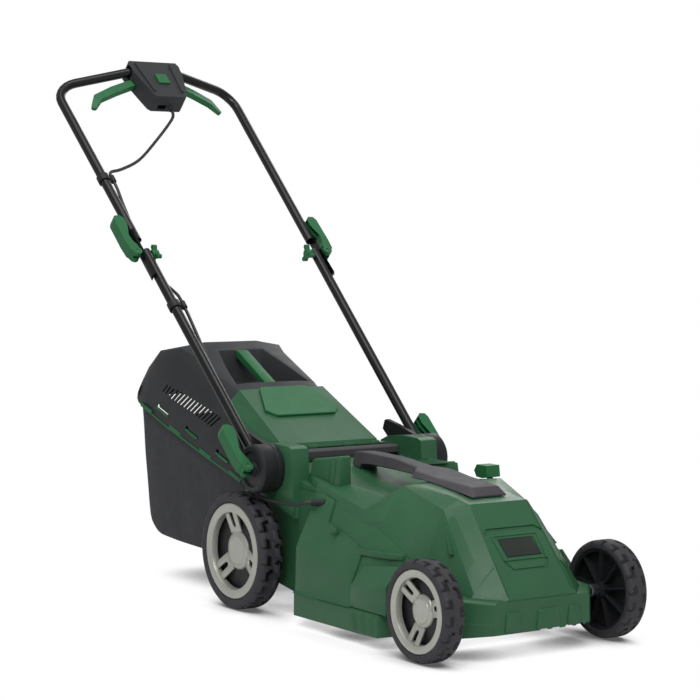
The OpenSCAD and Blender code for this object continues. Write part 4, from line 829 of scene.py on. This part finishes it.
def skin(rows):
    """Open shell bridged through rows of half outlines, mirrored to both sides."""
    bm = bmesh.new()
    last = None
    for y, half in rows:
        outline = half + [(-x, z) for x, z in reversed(half)]
        ring = [bm.verts.new(mm(x, y, z)) for x, z in outline]
        edges = [bm.edges.new((a, b)) for a, b in zip(ring, ring[1:])]
        if last:
            bmesh.ops.bridge_loops(bm, edges=last[0] + edges)
        else:
            first = ring
        last = (edges, ring)
    bm.faces.new(first)
    bm.faces.new(last[1])
    bmesh.ops.remove_doubles(bm, verts=bm.verts, dist=1e-5)
    bmesh.ops.recalc_face_normals(bm, faces=bm.faces)
    if sum(f.normal.z * f.calc_area() for f in bm.faces) < 0:
        bmesh.ops.reverse_faces(bm, faces=bm.faces)
    return bm


# the front panel's own place: a runs across, b up the slope and the third axis stands on it
PANEL = Matrix.Translation(mm(0, -0.5, 172.2)) @ Matrix.Rotation(math.radians(49.7), 4, "X")
hood = skin(HOOD_ROWS)
hood_mesh = bpy.data.meshes.new("hood")
hood.to_mesh(hood_mesh)
hood.free()
hood_copy = bpy.data.objects.new("hood_copy", hood_mesh)
scene.collection.objects.link(hood_copy)
add_bevel(hood_copy, 2.6, segments=3, angle=16)
wall = hood_copy.modifiers.new("wall", "SOLIDIFY")
wall.thickness = 0.003
wall.offset = -1
cutter = bmesh.new()
block(cutter, mm(104.3, 76, 150), mm(110.3, 228, 300))                      # lever's slot
block(cutter, metres(-38.5, -18, -1.5), metres(38.5, 18, 9), place=PANEL)   # badge's seat
block(cutter, metres(-50, 33, -2.4), metres(50, 39.5, 9), place=PANEL)      # groove above it
for side in (-1, 1):
    block(cutter, metres(side * 55 - 8, 30, -2.2), metres(side * 55 + 8, 35.6, 9),
          turn=Matrix.Rotation(side * math.radians(-38), 4, "Z"), place=PANEL)
    block(cutter, metres(side * 40 - 3, -45, -1.6), metres(side * 40 + 3, -24, 9),
          turn=Matrix.Rotation(side * math.radians(-32), 4, "Z"), place=PANEL)
block(cutter, metres(-38, -44.5, -1.8), metres(38, -40.5, 9), place=PANEL)  # lower step
bmesh.ops.recalc_face_normals(cutter, faces=cutter.faces)
hood_piece = finish_cut(hood_copy, cutter, "motor_hood", "green_plastic", "hood_moulding")
smooth_by_angle(hood_piece, 24)

# %% [markdown]
# Raised details are moulded on the hood: a frame round the badge, a line along each side of
# the front panel, a proud edge on each bevelled corner, the two boxes at the rear and a rib
# on each box. The frame, the lines, the boxes and the ribs have rounded edges.

# %% Raised details of the hood
BOX_FRONT, BOX_REAR = 333, 427
CORNER_EDGES = [    # outer edge, then ridge, of the three stretches of a bevelled corner
    ([(97.6, 57, 196.2), (106.5, 5, 135.9)], [(85.5, 57, 211.6), (91.1, 5, 152.4)]),
    ([(97.6, 57, 196.2), (94, 76, 216)], [(85.5, 57, 211.6), (83.4, 76, 225.2)]),
    ([(106.5, 5, 135.9), (110.4, -19, 107.4)], [(91.1, 5, 152.4), (71, -20.5, 146)]),
]
relief = bmesh.new()
plate(relief, [(-47, 26.5), (47, 26.5), (49.5, 22.5), (-49.5, 22.5)], -1, 1.5, PANEL, 0.5)
plate(relief, [(-46, -21.5), (46, -21.5), (43, -25), (-43, -25)], -1, 1.8, PANEL, 0.6)
for side in (-1, 1):
    plate(relief, [(side * 46.5, 23), (side * 49.5, 23), (side * 46, -24), (side * 43, -24)],
          -1, 1.5, PANEL, 0.5)
    plate(relief, [(side * 59.6, 84), (side * 62.2, 84), (side * 70.6, -88), (side * 68, -88)],
          -1, 1.1, PANEL, 0.5)
    top = 297 if side < 0 else 274      # the left box is lower, beside the lever
    box = block(relief, mm(side * 121 - 16, BOX_FRONT, 236), mm(side * 121 + 16, BOX_REAR, top),
                taper=(0.80, 0.92), round_by=5, segments=4)
    for vert in box:                    # its lid falls to the rear and leans inwards
        if vert.co.z > mm(0, 0, 270).z:
            share = (vert.co.y - mm(0, BOX_FRONT, 0).y) * 1000 / (BOX_REAR - BOX_FRONT)
            vert.co.z -= 0.014 * share
            vert.co.x -= side * 0.004
    block(relief, mm(side * 133.4 - 2, 346, 243), mm(side * 133.4 + 1.6, 362, top - 10),
          turn=Matrix.Rotation(side * math.radians(-6.5), 4, "Y"), round_by=1.2)
    out = Vector((side * 0.646, -0.561, 0.517))     # away from the bevelled corner
    for low_edge, high_edge in CORNER_EDGES:
        edge = [mm(side * x, y, z) for x, y, z in low_edge]
        ridge = [mm(side * x, y, z) for x, y, z in high_edge]
        solid_of(relief, [p + out * 0.0004 for p in edge] + [p + out * 0.0019 for p in ridge]
                 + [p - out * 0.004 for p in edge + ridge])
bmesh.ops.recalc_face_normals(relief, faces=relief.faces)
relief_piece = as_piece("hood_relief", relief, "green_plastic", "chassis")
smooth_by_angle(relief_piece, 30)

# %% [markdown]
# ## Deck
# The deck keeps its engineering form with rounded creases. Behind each front wheel its side
# stands a little proud below a stepped line, so those faces are scored along the line and
# pulled outwards. Shallow arcs make the bumper's lower edge wavy.

# %% Deck with its raised sides and wavy edge
WAVES = (4, 30, 58, 82, 101)        # places of the arcs across the bumper
RAISED = [(310, 230), (308, 186), (228, 164), (200, 151), (199, 58), (430, 58), (430, 230)]
OUT_BY, UP_BY = 0.0032, 0.0008      # how far the raised part moves, metres
SIDEWAYS = 0.2                      # least X of the normal of a face that counts as a side


def inside(point, corners):
    """Whether (y, z) lies in the polygon."""
    hit = False
    for (y0, z0), (y1, z1) in zip(corners, corners[1:] + corners[:1]):
        if (z0 > point[1]) != (z1 > point[1]):
            if point[0] < y0 + (y1 - y0) * (point[1] - z0) / (z1 - z0):
                hit = not hit
    return hit


def raise_sides(bm):
    """Scores the deck's sides along the stepped line and pulls the part behind it out."""
    for side in (-1, 1):
        for (y0, z0), (y1, z1) in zip(RAISED, RAISED[1:] + RAISED[:1]):
            faces = [f for f in bm.faces if f.normal.x * side > SIDEWAYS
                     and f.calc_center_median().x * side > 0.1]
            parts = faces + list({e for f in faces for e in f.edges}) \
                + list({v for f in faces for v in f.verts})
            bmesh.ops.bisect_plane(bm, geom=parts, dist=1e-6, plane_co=mm(0, y0, z0),
                                   plane_no=Vector((0, z1 - z0, y0 - y1)).normalized())
        chosen = []
        for face in bm.faces:
            at = face.calc_center_median()
            spot = ((at.y - FRONT_Y) * 1000, at.z * 1000)
            if face.normal.x * side > SIDEWAYS and at.x * side > 0.12 and inside(spot, RAISED):
                chosen.append(face)
        grown = bmesh.ops.extrude_face_region(bm, geom=chosen)
        moved = [g for g in grown["geom"] if isinstance(g, bmesh.types.BMVert)]
        bmesh.ops.translate(bm, vec=(side * OUT_BY, 0, UP_BY), verts=moved)
        print("raised faces", len(chosen))


cutter = bmesh.new()
for x in WAVES:
    arc = bmesh.ops.create_cone(cutter, cap_ends=True, segments=40, radius1=0.012, radius2=0.012,
                                depth=0.02)["verts"]
    bmesh.ops.rotate(cutter, cent=(0, 0, 0), matrix=Matrix.Rotation(math.pi / 2, 3, "X"), verts=arc)
    bmesh.ops.translate(cutter, vec=mm(x, -60, 35.5), verts=arc)
deck_piece = carve("deck_shell", cutter, "green_plastic", round_by=1.8, segments=2, angle=17,
                   reshape=raise_sides)
smooth_by_angle(deck_piece, 24)

# %% [markdown]
# The deck's raised details are pads on the bumper and, on each side, a ledge over the front
# wheel, a wedge below it, a small boss, a thin leaning rib and three fins on the skirt.

# %% Raised details of the deck
relief = bmesh.new()
UPRIGHT = Matrix(((0, 0, 1, 0), (1, 0, 0, 0), (0, 1, 0, 0), (0, 0, 0, 1)))   # a to Y, b to Z


def side_plate(bm, outline, side, x_in, x_out, lean, round_by):
    """Plate on the machine's side: outline of (y, z) mm, leaning by lean degrees."""
    y0 = sum(p[0] for p in outline) / len(outline)
    z0 = sum(p[1] for p in outline) / len(outline)
    local = [(y - y0, z - z0) for y, z in outline]
    turn = Matrix.Rotation(side * math.radians(lean), 4, "Y")
    low, high = sorted((side * x_in, side * x_out))
    middle_x = (low + high) / 2
    plate(bm, local, low - middle_x, high - middle_x,
          Matrix.Translation(mm(middle_x, y0, z0)) @ turn @ UPRIGHT, round_by)


for x0, x1 in ((-80, -46), (-14, 38), (53, 82)):      # bumper pads
    block(relief, mm(x0, -66.5, 45), mm(x1, -57, 79), taper=(0.82, 0.8), round_by=4.2, segments=5)
for side in (-1, 1):
    ledge = [(182, 218), (180.5, 200), (176, 170), (171, 150), (165.5, 130), (157, 113),
             (138, 113), (150, 140), (160, 180), (165, 218)]
    plate(relief, [(side * x, y) for x, y in ledge], 145.5, 155.5,
          Matrix.Translation((0, FRONT_Y, 0)), 1.6)
    solid_of(relief, [mm(side * x, y, z) for x, y, z in (
        (187, 181, 130), (176, 94, 141), (201.5, 200, 96), (203, 96, 108), (201.5, 200, 60),
        (203, 96, 60), (170, 200, 60), (165, 96, 60), (170, 181, 128), (160, 94, 138))], 1.2)
    side_plate(relief, [(286, 184), (284, 175), (270, 171), (271, 180)], side, 174, 184, -24, 1.2)
    side_plate(relief, [(74, 203), (71, 203), (38, 161), (42, 160)], side, 98, 108, -21, 0.8)
    for y in (189, 163, 138):
        solid_of(relief, [mm(side * x, y + dy, z) for x, dy, z in (
            (203, 2, 56), (203, -4, 56), (207.5, -1, 50), (207, -9, 27), (203, -4, 26),
            (203, -13, 26))], 0.6)
bmesh.ops.recalc_face_normals(relief, faces=relief.faces)
deck_relief = as_piece("deck_relief", relief, "green_plastic", "chassis")
smooth_by_angle(deck_relief, 30)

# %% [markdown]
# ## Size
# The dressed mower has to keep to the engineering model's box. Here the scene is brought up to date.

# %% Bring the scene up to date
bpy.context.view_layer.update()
